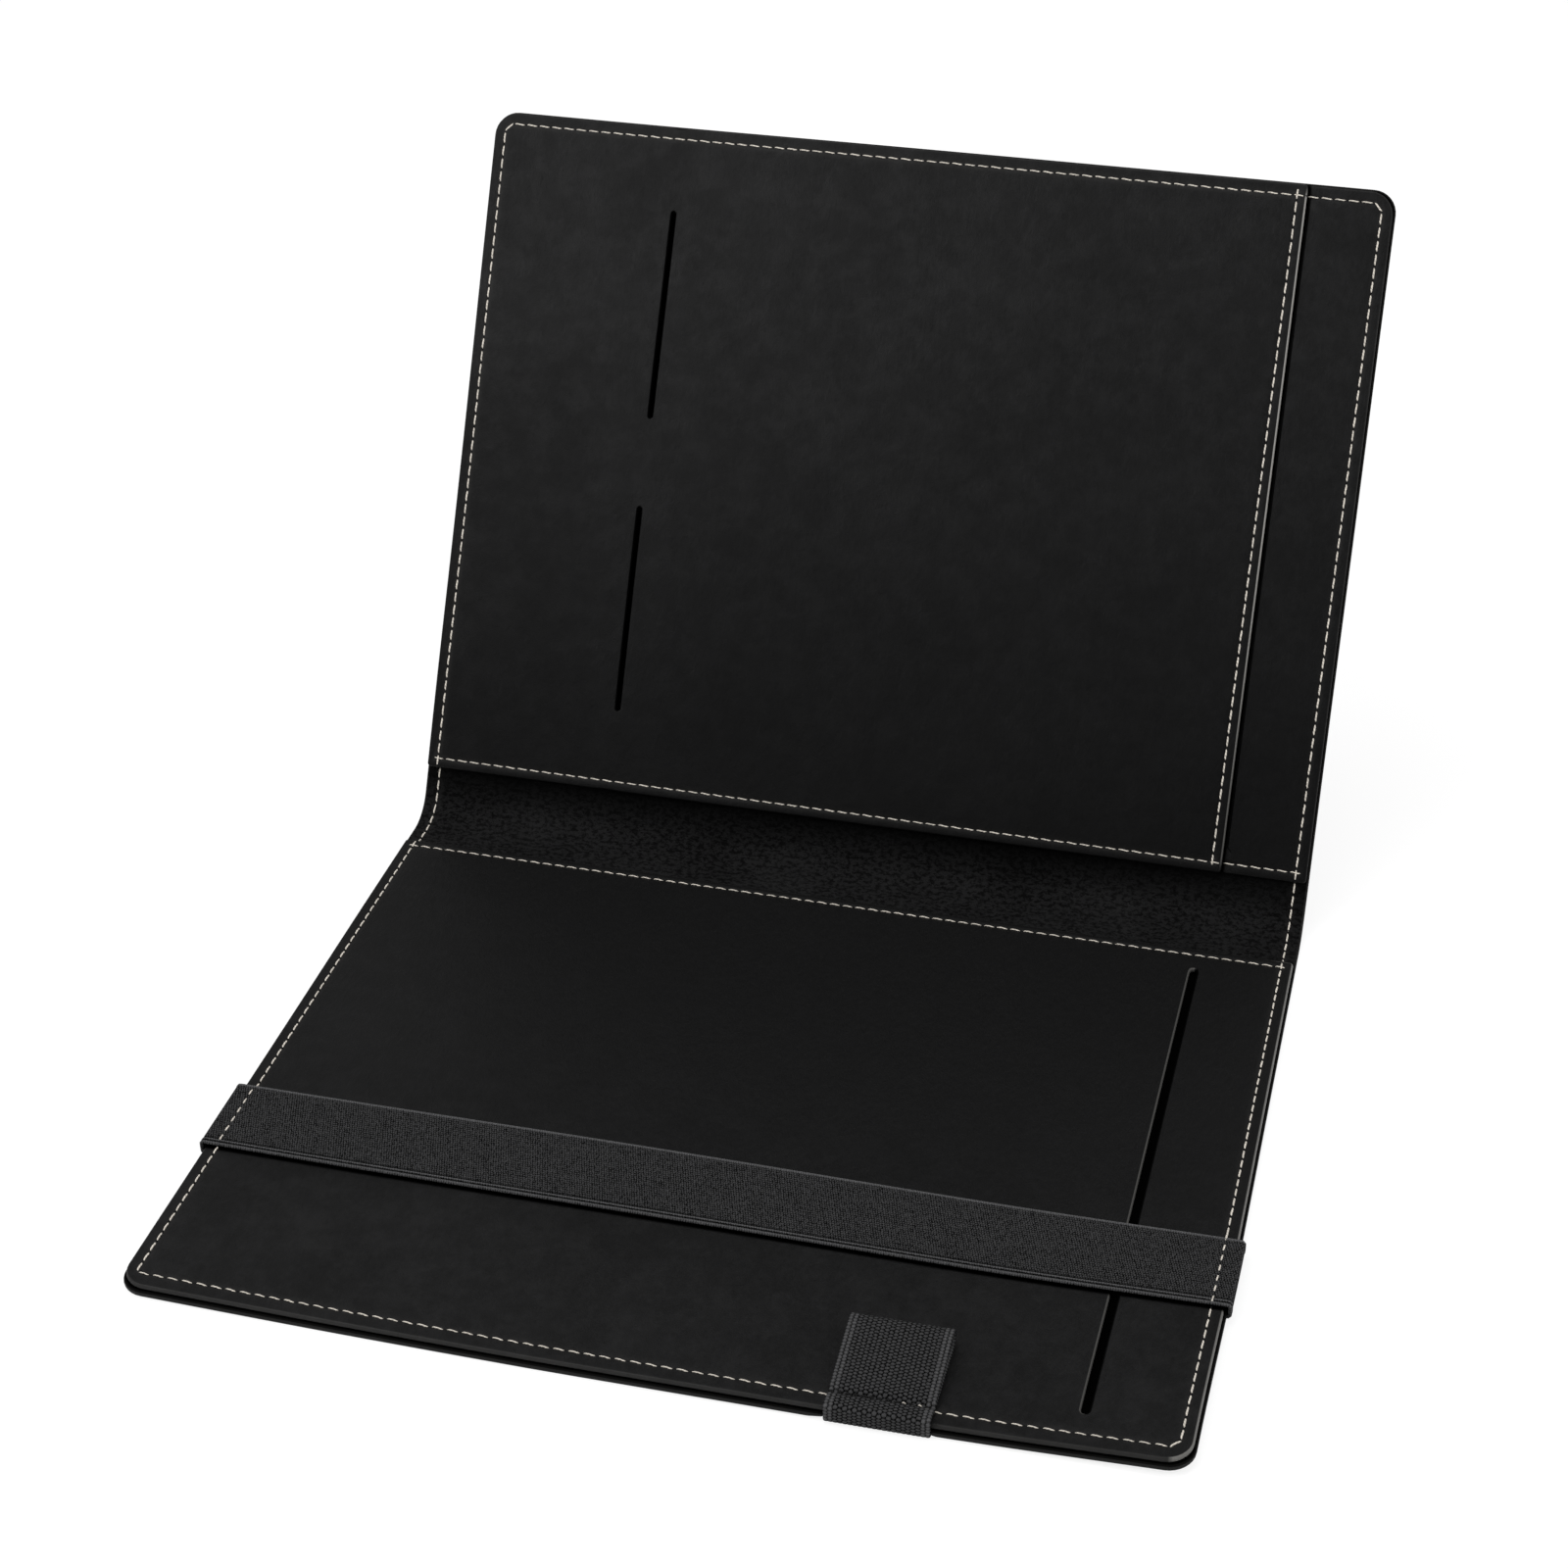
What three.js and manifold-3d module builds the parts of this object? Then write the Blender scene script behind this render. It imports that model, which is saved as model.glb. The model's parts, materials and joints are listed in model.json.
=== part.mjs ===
// A leather document organizer, opened out like a book.
//
// The back cover lies flat and the front cover leans back behind it. One thick outer leather forms both
// covers and the curved spine between them. A notepad panel with one long slit is sewn into the back cover.
// A lining and a pocket panel with two slits and a free right edge are sewn into the front cover. A wide
// elastic closure band crosses the back cover, and an elastic pen loop is folded over its front edge.
//
// Units are millimetres and +Z is up. X runs along the spine, and +Y from the front edge to the spine.
// The origin is the centre of the back cover's underside.

import * as THREE from 'three';
import * as BufferGeometryUtils from 'three/addons/utils/BufferGeometryUtils.js';
import Module from 'manifold-3d';

const wasm = await Module();
wasm.setup();

// Covers
const coverLength = 320;
const panelDepth = 237;
const foldMargin = 10;
const cornerRadius = 8;
const panelInnerCornerRadius = 1;
const outerLeather = 2.2;
const edgeRounding = 0.35;

// Spine
const spineRadius = 16;
const coverAngle = 60;
const foldClearance = 0.3;
const spineArcSteps = 10;
const foldEndSteps = 6;

// Inner panels
const layerGap = 0.3;
const notepadPanelThickness = 1.8;
const liningThickness = 1.3;
const pocketPanelThickness = 1.6;
const pocketPanelWidth = 291;

// Slits
const slitWidth = 3;
const notepadSlitEndMargin = 11.25;
const notepadSlitX = 128;
const cardSlitLength = 73.5;
const cardSlitX = -91;
const cardSlitSpacing = 105.5;

// Closure band
const bandWidth = 30;
const bandThickness = 1.2;
const bandFromFrontEdge = 76.7;
const bandTail = 11;

// Pen loop
const loopWidth = 31;
const loopThickness = 1;
const loopX = 71;
const loopReach = 24.7;
const loopInnerHeight = 4.8;
const loopNeck = 5.5;
const loopShoulder = 6;
const loopTail = 11;
const elasticBendRadius = 0.9;

// Stitching
const stitchMargin = 3.3;
const stitchPitch = 4.35;
const threadWidth = 0.9;
const threadHeight = 0.6;
const dipWidth = 0.5;
const dipHeight = 0.15;
const seamCornerRadius = 3;
const seamGapAtFold = 2.5;
const seamGapAtCrossing = 2.2;

// Number of straight steps in each rounded corner
const cornerSteps = 6;
const bendSteps = 4;

// Sizes that follow from the ones above
const coverDepth = panelDepth + foldMargin;
const halfLength = coverLength / 2;
const frontEdge = -coverDepth / 2;
const foldY = coverDepth / 2;
const panelBackEdge = frontEdge + panelDepth;
const foldEnd = outerLeather / 2 + foldClearance;
const notepadPanelBase = outerLeather + layerGap;
const notepadPanelTop = notepadPanelBase + notepadPanelThickness;
const liningBase = outerLeather + layerGap;
const liningTop = liningBase + liningThickness;
const pocketPanelBase = liningTop + layerGap;
const pocketPanelTop = pocketPanelBase + pocketPanelThickness;
const pocketEdgeX = pocketPanelWidth - halfLength;
const notepadSlitLength = panelDepth - 2 * notepadSlitEndMargin;
const bandY = frontEdge + bandFromFrontEdge;
const seamX = halfLength - stitchMargin;
const coverAngleRadians = THREE.MathUtils.degToRad(coverAngle);

// Place of the two fold axes, at the middle of the outer leather's thickness
const backFold = new THREE.Vector2(foldY, outerLeather / 2);
const frontFold = new THREE.Vector2(
  backFold.x + spineRadius * Math.sin(coverAngleRadians),
  backFold.y + spineRadius * (1 - Math.cos(coverAngleRadians)),
);

// Materials
function finish(color, roughness) {
  return () => new THREE.MeshStandardMaterial({ color, roughness, metalness: 0 });
}

const outerLeatherFinish = finish(0x1e1e1f, 0.62);
const panelLeatherFinish = finish(0x242425, 0.58);
const elasticFinish = finish(0x2c2c2e, 0.85);
const threadFinish = finish(0xcdc3b4, 0.8);

function piece(name, geometry, material) {
  const mesh = new THREE.Mesh(geometry, material());
  mesh.name = name;
  return mesh;
}

// Joins and cuts

function toSolid(geometry) {
  const bare = geometry.clone();
  bare.deleteAttribute('normal');
  bare.deleteAttribute('uv');
  const merged = BufferGeometryUtils.mergeVertices(bare, 1e-4);
  const vertProperties = new Float32Array(merged.attributes.position.array);
  const triVerts = new Uint32Array(merged.index.array);
  return new wasm.Manifold(new wasm.Mesh({ numProp: 3, vertProperties, triVerts }));
}

function toGeometry(solid) {
  const mesh = solid.getMesh();
  const geometry = new THREE.BufferGeometry();
  geometry.setAttribute('position', new THREE.BufferAttribute(mesh.vertProperties, 3));
  geometry.setIndex(new THREE.BufferAttribute(mesh.triVerts, 1));
  geometry.computeVertexNormals();
  return geometry;
}

// A box between two corners
function block(low, high) {
  const size = new THREE.Vector3().subVectors(high, low);
  const middle = new THREE.Vector3().addVectors(low, high).multiplyScalar(0.5);
  const geometry = new THREE.BoxGeometry(size.x, size.y, size.z);
  geometry.translate(middle.x, middle.y, middle.z);
  return geometry;
}

// Flat leather pieces

// A rectangle with its own radius at each corner, in the order near left, near right, far right, far left
function sheetShape(left, right, near, far, radii) {
  const [nearLeft, nearRight, farRight, farLeft] = radii;
  const shape = new THREE.Shape();
  shape.moveTo(left + nearLeft, near);
  shape.lineTo(right - nearRight, near);
  shape.absarc(right - nearRight, near + nearRight, nearRight, -Math.PI / 2, 0);
  shape.lineTo(right, far - farRight);
  shape.absarc(right - farRight, far - farRight, farRight, 0, Math.PI / 2);
  shape.lineTo(left + farLeft, far);
  shape.absarc(left + farLeft, far - farLeft, farLeft, Math.PI / 2, Math.PI);
  shape.lineTo(left, near + nearLeft);
  shape.absarc(left + nearLeft, near + nearLeft, nearLeft, Math.PI, Math.PI * 1.5);
  return shape;
}

// A slit with round ends, running along Y
function slit(x, middleY, length) {
  const radius = slitWidth / 2;
  const reach = length / 2 - radius;
  const hole = new THREE.Path();
  hole.absarc(x, middleY + reach, radius, 0, Math.PI);
  hole.absarc(x, middleY - reach, radius, Math.PI, Math.PI * 2);
  hole.closePath();
  return hole;
}

// A sheet of leather with rounded edges, its underside at the given height
function leather(shape, base, thickness) {
  const geometry = new THREE.ExtrudeGeometry(shape, {
    depth: thickness - 2 * edgeRounding,
    bevelEnabled: true,
    bevelThickness: edgeRounding,
    bevelSize: edgeRounding,
    bevelOffset: -edgeRounding,
    bevelSegments: 1,
    curveSegments: cornerSteps,
  });
  geometry.translate(0, 0, base + edgeRounding);
  return geometry;
}

// Elastic, as a centreline in a plane that is given thickness and then width

// A line through the points, with an arc of each inner point's radius in place of its corner
function roundedLine(points) {
  const line = [points[0].at];
  for (let i = 1; i < points.length - 1; i += 1) {
    const corner = points[i].at;
    const towardsLast = points[i - 1].at.clone().sub(corner).normalize();
    const towardsNext = points[i + 1].at.clone().sub(corner).normalize();
    const halfAngle = Math.acos(towardsLast.dot(towardsNext)) / 2;
    const bisector = towardsLast.clone().add(towardsNext).normalize();
    const centre = corner.clone().addScaledVector(bisector, points[i].radius / Math.sin(halfAngle));
    const cut = points[i].radius / Math.tan(halfAngle);
    const start = corner.clone().addScaledVector(towardsLast, cut).sub(centre);
    const end = corner.clone().addScaledVector(towardsNext, cut).sub(centre);
    const turn = Math.atan2(start.cross(end), start.dot(end));
    for (let step = 0; step <= bendSteps; step += 1) {
      const swung = start.clone().rotateAround(new THREE.Vector2(), (turn * step) / bendSteps);
      line.push(swung.add(centre));
    }
  }
  line.push(points[points.length - 1].at);
  return line;
}

// The closed outline of a strip that follows a line, half its thickness to each side
function stripShape(line, thickness) {
  const sides = [-1, 1].map((side) =>
    line.map((point, i) => {
      const before = point.clone().sub(line[Math.max(i - 1, 0)]);
      const after = line[Math.min(i + 1, line.length - 1)].clone().sub(point);
      const along = before.normalize().add(after.normalize()).normalize();
      const normal = new THREE.Vector2(-along.y, along.x);
      return point.clone().addScaledVector(normal, (side * thickness) / 2);
    }),
  );
  return new THREE.Shape([...sides[0], ...sides[1].reverse()]);
}

// A shape in the plane of the axes u and v, given a width along the axis w, centred on a point of that axis
function across(shape, width, u, v, w, centre) {
  const geometry = new THREE.ExtrudeGeometry(shape, { depth: width, bevelEnabled: false });
  geometry.translate(0, 0, -width / 2);
  geometry.applyMatrix4(new THREE.Matrix4().makeBasis(u, v, w));
  geometry.translate(centre.x, centre.y, centre.z);
  return geometry;
}

const axisX = new THREE.Vector3(1, 0, 0);
const axisY = new THREE.Vector3(0, 1, 0);
const axisZ = new THREE.Vector3(0, 0, 1);

function at(a, b, radius = elasticBendRadius) {
  return { at: new THREE.Vector2(a, b), radius };
}

// Height of the middle of each elastic layer above the panel
const bandHeight = notepadPanelTop + layerGap + bandThickness / 2;
const loopLowerHeight = notepadPanelTop + layerGap + loopThickness / 2;
const loopUpperHeight = loopLowerHeight + loopThickness + layerGap;
const loopTopHeight = loopLowerHeight + loopThickness + loopInnerHeight;

function closureBandGeometry() {
  const wrap = halfLength + layerGap + bandThickness / 2;
  const tailEnd = halfLength - bandTail;
  const line = roundedLine([
    at(-tailEnd, bandThickness / 2),
    at(-wrap, bandThickness / 2),
    at(-wrap, bandHeight),
    at(wrap, bandHeight),
    at(wrap, bandThickness / 2),
    at(tailEnd, bandThickness / 2),
  ]);
  const shape = stripShape(line, bandThickness);
  const centre = new THREE.Vector3(0, bandY, 0);
  return across(shape, bandWidth, axisX, axisZ, axisY.clone().negate(), centre);
}

function penLoopGeometry() {
  const wrap = frontEdge - layerGap - loopThickness / 2;
  const roundEnd = (loopTopHeight - loopLowerHeight) / 2;
  const tip = frontEdge + loopReach - loopThickness / 2;
  const neck = frontEdge + loopNeck;
  const line = roundedLine([
    at(frontEdge + loopTail, loopThickness / 2),
    at(wrap, loopThickness / 2),
    at(wrap, loopUpperHeight),
    at(neck, loopUpperHeight),
    at(neck + loopShoulder, loopTopHeight, 3 * elasticBendRadius),
    at(tip, loopTopHeight, roundEnd * 0.98),
    at(tip, loopLowerHeight, roundEnd * 0.98),
    at(frontEdge + stitchMargin / 2, loopLowerHeight),
  ]);
  const centre = new THREE.Vector3(loopX, 0, 0);
  return across(stripShape(line, loopThickness), loopWidth, axisY, axisZ, axisX, centre);
}

// Stitching, as one bead of thread that dips between the stitches

// Every second station is a dip where the thread enters the leather. A station has a point, the direction
// along the seam and the direction away from the leather.
function threadGeometry(stations) {
  const positions = [];
  const index = [];
  const ring = 3;
  stations.forEach(({ point, along, up }, i) => {
    const dip = i % 2 === 0;
    const sideways = up.clone().cross(along);
    const halfWidth = (dip ? dipWidth : threadWidth) / 2;
    const height = dip ? dipHeight : threadHeight;
    positions.push(...point.clone().addScaledVector(sideways, halfWidth).toArray());
    positions.push(...point.clone().addScaledVector(sideways, -halfWidth).toArray());
    positions.push(...point.clone().addScaledVector(up, height).toArray());
  });
  for (let i = 0; i < stations.length - 1; i += 1) {
    for (let corner = 0; corner < ring; corner += 1) {
      const a = i * ring + corner;
      const b = i * ring + ((corner + 1) % ring);
      index.push(a, a + ring, b + ring);
      index.push(a, b + ring, b);
    }
  }
  const last = (stations.length - 1) * ring;
  index.push(0, 1, 2);
  index.push(last, last + 2, last + 1);
  const geometry = new THREE.BufferGeometry();
  geometry.setAttribute('position', new THREE.Float32BufferAttribute(positions, 3));
  geometry.setIndex(index);
  geometry.computeVertexNormals();
  return geometry;
}

// Stations along a flat path, lifted over whatever the seam holds down at each place and on either side
function flatSeam(path, surface) {
  const count = 2 * Math.round(path.getLength() / stitchPitch);
  const points = path.getSpacedPoints(count);
  const heights = points.map((point) => surface(point.x, point.y));
  const stations = points.map((point, i) => {
    const direction = path.getTangentAt(i / count);
    const height = Math.max(...heights.slice(Math.max(i - 1, 0), i + 2));
    return {
      point: new THREE.Vector3(point.x, point.y, height + layerGap),
      along: new THREE.Vector3(direction.x, direction.y, 0),
      up: axisZ,
    };
  });
  return threadGeometry(stations);
}

// A seam up one side, across the free edge and down the other side of a cover
function coverSeam(foldSide, freeSide) {
  const inward = Math.sign(foldSide - freeSide);
  const bend = seamCornerRadius;
  const turn = inward * (Math.PI / 2);
  const path = new THREE.Path();
  path.moveTo(-seamX, foldSide);
  path.lineTo(-seamX, freeSide + inward * bend);
  path.absarc(-seamX + bend, freeSide + inward * bend, bend, Math.PI, Math.PI + turn, inward < 0);
  path.lineTo(seamX - bend, freeSide);
  path.absarc(seamX - bend, freeSide + inward * bend, bend, -turn, 0, inward < 0);
  path.lineTo(seamX, foldSide);
  return path;
}

function straightSeam(fromX, fromY, toX, toY) {
  const path = new THREE.Path();
  path.moveTo(fromX, fromY);
  path.lineTo(toX, toY);
  return path;
}

// What lies on top at each place of the back cover
function backSurface(x, y) {
  if (y > panelBackEdge) {
    return outerLeather;
  }
  if (Math.abs(y - bandY) < bandWidth / 2) {
    return bandHeight + bandThickness / 2;
  }
  if (Math.abs(x - loopX) < loopWidth / 2 && y < frontEdge + loopNeck) {
    return loopUpperHeight + loopThickness / 2;
  }
  return notepadPanelTop;
}

// What lies on top at each place of the front cover, in the cover's own frame
function frontSurface(x, y) {
  if (y < foldMargin) {
    return outerLeather;
  }
  return x < pocketEdgeX ? pocketPanelTop : liningTop;
}

// The back cover, which lies flat

function backCover() {
  const group = new THREE.Group();
  const square = [0, 0];
  const foldSide = foldY - foldEnd;
  const coverShape = sheetShape(
    -halfLength,
    halfLength,
    frontEdge,
    foldSide,
    [cornerRadius, cornerRadius, ...square],
  );
  const bandRecess = bandThickness + layerGap;
  const loopRecess = loopThickness + layerGap;
  const beyond = 5;
  let outer = toSolid(leather(coverShape, 0, outerLeather));
  for (const side of [-1, 1]) {
    const recessEnds = [
      side * (halfLength - bandTail - layerGap),
      side * (halfLength + beyond),
    ];
    const recess = block(
      new THREE.Vector3(Math.min(...recessEnds), bandY - bandWidth / 2 - layerGap, -beyond),
      new THREE.Vector3(Math.max(...recessEnds), bandY + bandWidth / 2 + layerGap, bandRecess),
    );
    outer = outer.subtract(toSolid(recess));
  }
  const loopTailRecess = block(
    new THREE.Vector3(loopX - loopWidth / 2 - layerGap, frontEdge - beyond, -beyond),
    new THREE.Vector3(loopX + loopWidth / 2 + layerGap, frontEdge + loopTail + layerGap, loopRecess),
  );
  outer = outer.subtract(toSolid(loopTailRecess));
  group.add(piece('back_cover_leather', toGeometry(outer), outerLeatherFinish));

  const inner = panelInnerCornerRadius;
  const panelShape = sheetShape(
    -halfLength,
    halfLength,
    frontEdge,
    panelBackEdge,
    [cornerRadius, cornerRadius, inner, inner],
  );
  panelShape.holes.push(slit(notepadSlitX, frontEdge + panelDepth / 2, notepadSlitLength));
  const panel = leather(panelShape, notepadPanelBase, notepadPanelThickness);
  group.add(piece('notepad_panel', panel, panelLeatherFinish));

  group.add(piece('closure_band', closureBandGeometry(), elasticFinish));
  group.add(piece('pen_loop', penLoopGeometry(), elasticFinish));

  const perimeter = coverSeam(foldY - seamGapAtFold, frontEdge + stitchMargin);
  group.add(piece('back_perimeter_thread', flatSeam(perimeter, backSurface), threadFinish));
  const rowEnd = seamX - seamGapAtCrossing;
  const rowY = panelBackEdge - stitchMargin;
  const row = flatSeam(straightSeam(-rowEnd, rowY, rowEnd, rowY), backSurface);
  group.add(piece('back_panel_spine_thread', row, threadFinish));
  return group;
}

// The spine, a curved strip of the outer leather that runs tangent into both covers

// The point of the spine's middle surface after a turn from the back fold, lifted towards the inside
function spinePoint(turn, lift) {
  const radius = spineRadius - lift;
  return new THREE.Vector2(
    backFold.x + radius * Math.sin(turn),
    backFold.y + spineRadius - radius * Math.cos(turn),
  );
}

function spineGeometry() {
  const half = outerLeather / 2;
  const outline = [];
  for (let i = 0; i <= spineArcSteps; i += 1) {
    outline.push(spinePoint((coverAngleRadians * i) / spineArcSteps, -half));
  }
  for (let i = 1; i < foldEndSteps; i += 1) {
    const angle = coverAngleRadians - Math.PI / 2 + (Math.PI * i) / foldEndSteps;
    outline.push(frontFold.clone().add(new THREE.Vector2(half * Math.cos(angle), half * Math.sin(angle))));
  }
  for (let i = spineArcSteps; i >= 0; i -= 1) {
    outline.push(spinePoint((coverAngleRadians * i) / spineArcSteps, half));
  }
  for (let i = 1; i < foldEndSteps; i += 1) {
    const angle = Math.PI / 2 + (Math.PI * i) / foldEndSteps;
    outline.push(backFold.clone().add(new THREE.Vector2(half * Math.cos(angle), half * Math.sin(angle))));
  }
  return across(new THREE.Shape(outline), coverLength, axisY, axisZ, axisX, new THREE.Vector3());
}

function spineSeamGeometry(x) {
  const gapTurn = seamGapAtFold / spineRadius;
  const length = spineRadius * (coverAngleRadians - 2 * gapTurn);
  const count = 2 * Math.max(1, Math.round(length / stitchPitch));
  const stations = [];
  for (let i = 0; i <= count; i += 1) {
    const turn = gapTurn + ((coverAngleRadians - 2 * gapTurn) * i) / count;
    const place = spinePoint(turn, outerLeather / 2 + layerGap);
    stations.push({
      point: new THREE.Vector3(x, place.x, place.y),
      along: new THREE.Vector3(0, Math.cos(turn), Math.sin(turn)),
      up: new THREE.Vector3(0, -Math.sin(turn), Math.cos(turn)),
    });
  }
  return threadGeometry(stations);
}

function spine() {
  const group = new THREE.Group();
  group.add(piece('spine_leather', spineGeometry(), outerLeatherFinish));
  group.add(piece('spine_thread_left', spineSeamGeometry(-seamX), threadFinish));
  group.add(piece('spine_thread_right', spineSeamGeometry(seamX), threadFinish));
  return group;
}

// The front cover, in its own frame: Y runs from the fold to the free edge, and Z away from the outer
// leather's outside face

function frontCover() {
  const group = new THREE.Group();
  const freeEdge = foldMargin + panelDepth;
  const outerShape = sheetShape(
    -halfLength,
    halfLength,
    foldEnd,
    freeEdge,
    [0, 0, cornerRadius, cornerRadius],
  );
  group.add(piece('front_cover_leather', leather(outerShape, 0, outerLeather), outerLeatherFinish));

  const inner = panelInnerCornerRadius;
  const liningShape = sheetShape(
    -halfLength,
    halfLength,
    foldMargin,
    freeEdge,
    [inner, inner, cornerRadius, cornerRadius],
  );
  const lining = leather(liningShape, liningBase, liningThickness);
  group.add(piece('front_lining', lining, panelLeatherFinish));

  const pocketShape = sheetShape(
    -halfLength,
    pocketEdgeX,
    foldMargin,
    freeEdge,
    [inner, inner, inner, cornerRadius],
  );
  for (const side of [-1, 1]) {
    const slitY = foldMargin + panelDepth / 2 + (side * cardSlitSpacing) / 2;
    pocketShape.holes.push(slit(cardSlitX, slitY, cardSlitLength));
  }
  const pocket = leather(pocketShape, pocketPanelBase, pocketPanelThickness);
  group.add(piece('document_pocket_panel', pocket, panelLeatherFinish));

  const perimeter = coverSeam(seamGapAtFold, freeEdge - stitchMargin);
  group.add(piece('front_perimeter_thread', flatSeam(perimeter, frontSurface), threadFinish));
  const rowEnd = seamX - seamGapAtCrossing;
  const rowY = foldMargin + stitchMargin;
  const row = flatSeam(straightSeam(-rowEnd, rowY, rowEnd, rowY), frontSurface);
  group.add(piece('front_panel_spine_thread', row, threadFinish));
  const edgeSeamX = pocketEdgeX - stitchMargin;
  const edgeSeam = straightSeam(
    edgeSeamX,
    rowY + seamGapAtCrossing,
    edgeSeamX,
    freeEdge - stitchMargin - seamGapAtCrossing,
  );
  const pocketEdgeSurface = () => pocketPanelTop;
  group.add(piece('pocket_edge_thread', flatSeam(edgeSeam, pocketEdgeSurface), threadFinish));

  group.position.set(0, frontFold.x, frontFold.y);
  group.rotation.x = coverAngleRadians;
  for (const child of group.children) {
    child.position.z = -outerLeather / 2;
  }
  return group;
}

const organizer = new THREE.Group();
organizer.name = 'leather_document_organizer';
organizer.add(backCover(), spine(), frontCover());

export default organizer;
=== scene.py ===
"""A leather document organizer, opened like a book, with its finishes and a plain studio.

Every sewn piece is worked out on the unfolded outer leather first. A point there has three numbers: x runs
along the spine, s runs from the front edge over the spine to the far edge, and n is the height above the
outer leather's outside face. Folio.bend then lays those points round the spine, so that the layers and their
stitches stay together. Lengths are in metres.
"""

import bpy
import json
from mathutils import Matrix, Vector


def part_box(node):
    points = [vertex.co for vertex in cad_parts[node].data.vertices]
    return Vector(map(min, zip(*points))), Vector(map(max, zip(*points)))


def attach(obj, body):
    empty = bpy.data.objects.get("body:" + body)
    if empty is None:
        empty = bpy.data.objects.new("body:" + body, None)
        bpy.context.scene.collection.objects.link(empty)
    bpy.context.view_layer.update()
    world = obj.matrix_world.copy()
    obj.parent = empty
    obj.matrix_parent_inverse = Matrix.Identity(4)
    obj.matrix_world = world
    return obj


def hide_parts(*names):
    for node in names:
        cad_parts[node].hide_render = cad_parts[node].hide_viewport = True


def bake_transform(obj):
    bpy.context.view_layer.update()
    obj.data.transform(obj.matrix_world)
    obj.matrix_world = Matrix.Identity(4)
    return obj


bl_info = {
    "name": "Leather document organizer",
    "version": (1, 0, 0),
    "blender": (4, 5, 0),
    "location": "3D Viewport > Sidebar > Organizer",
    "description": "Builds an open leather document organizer with its elastic, stitching and studio",
    "category": "Object",
}

import json
import math

import bpy
import numpy as np
from bpy.props import FloatProperty, FloatVectorProperty, IntProperty, PointerProperty
from mathutils import Matrix, Vector

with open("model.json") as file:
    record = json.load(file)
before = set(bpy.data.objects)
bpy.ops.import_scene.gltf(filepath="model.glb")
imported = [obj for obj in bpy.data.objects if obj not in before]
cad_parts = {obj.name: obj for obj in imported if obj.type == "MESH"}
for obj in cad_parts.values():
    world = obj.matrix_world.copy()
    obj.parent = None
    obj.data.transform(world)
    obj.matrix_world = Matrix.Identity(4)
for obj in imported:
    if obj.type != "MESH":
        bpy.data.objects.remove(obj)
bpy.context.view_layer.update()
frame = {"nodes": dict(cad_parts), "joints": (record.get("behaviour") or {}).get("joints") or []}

MM = 0.001
PLACE = "flat_place"
# The edge attribute holds the burnish of cut edges together with painted highlights and painted shade on
# edges, elastic rims and stitches.
EDGE = "cut_edge"
TINY = 1e-6


# The frame, read as an unfolded organizer


def corners(node):
    """The lowest and highest corner of a node at rest, as arrays."""
    low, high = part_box(node)
    return np.array(low), np.array(high)


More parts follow.
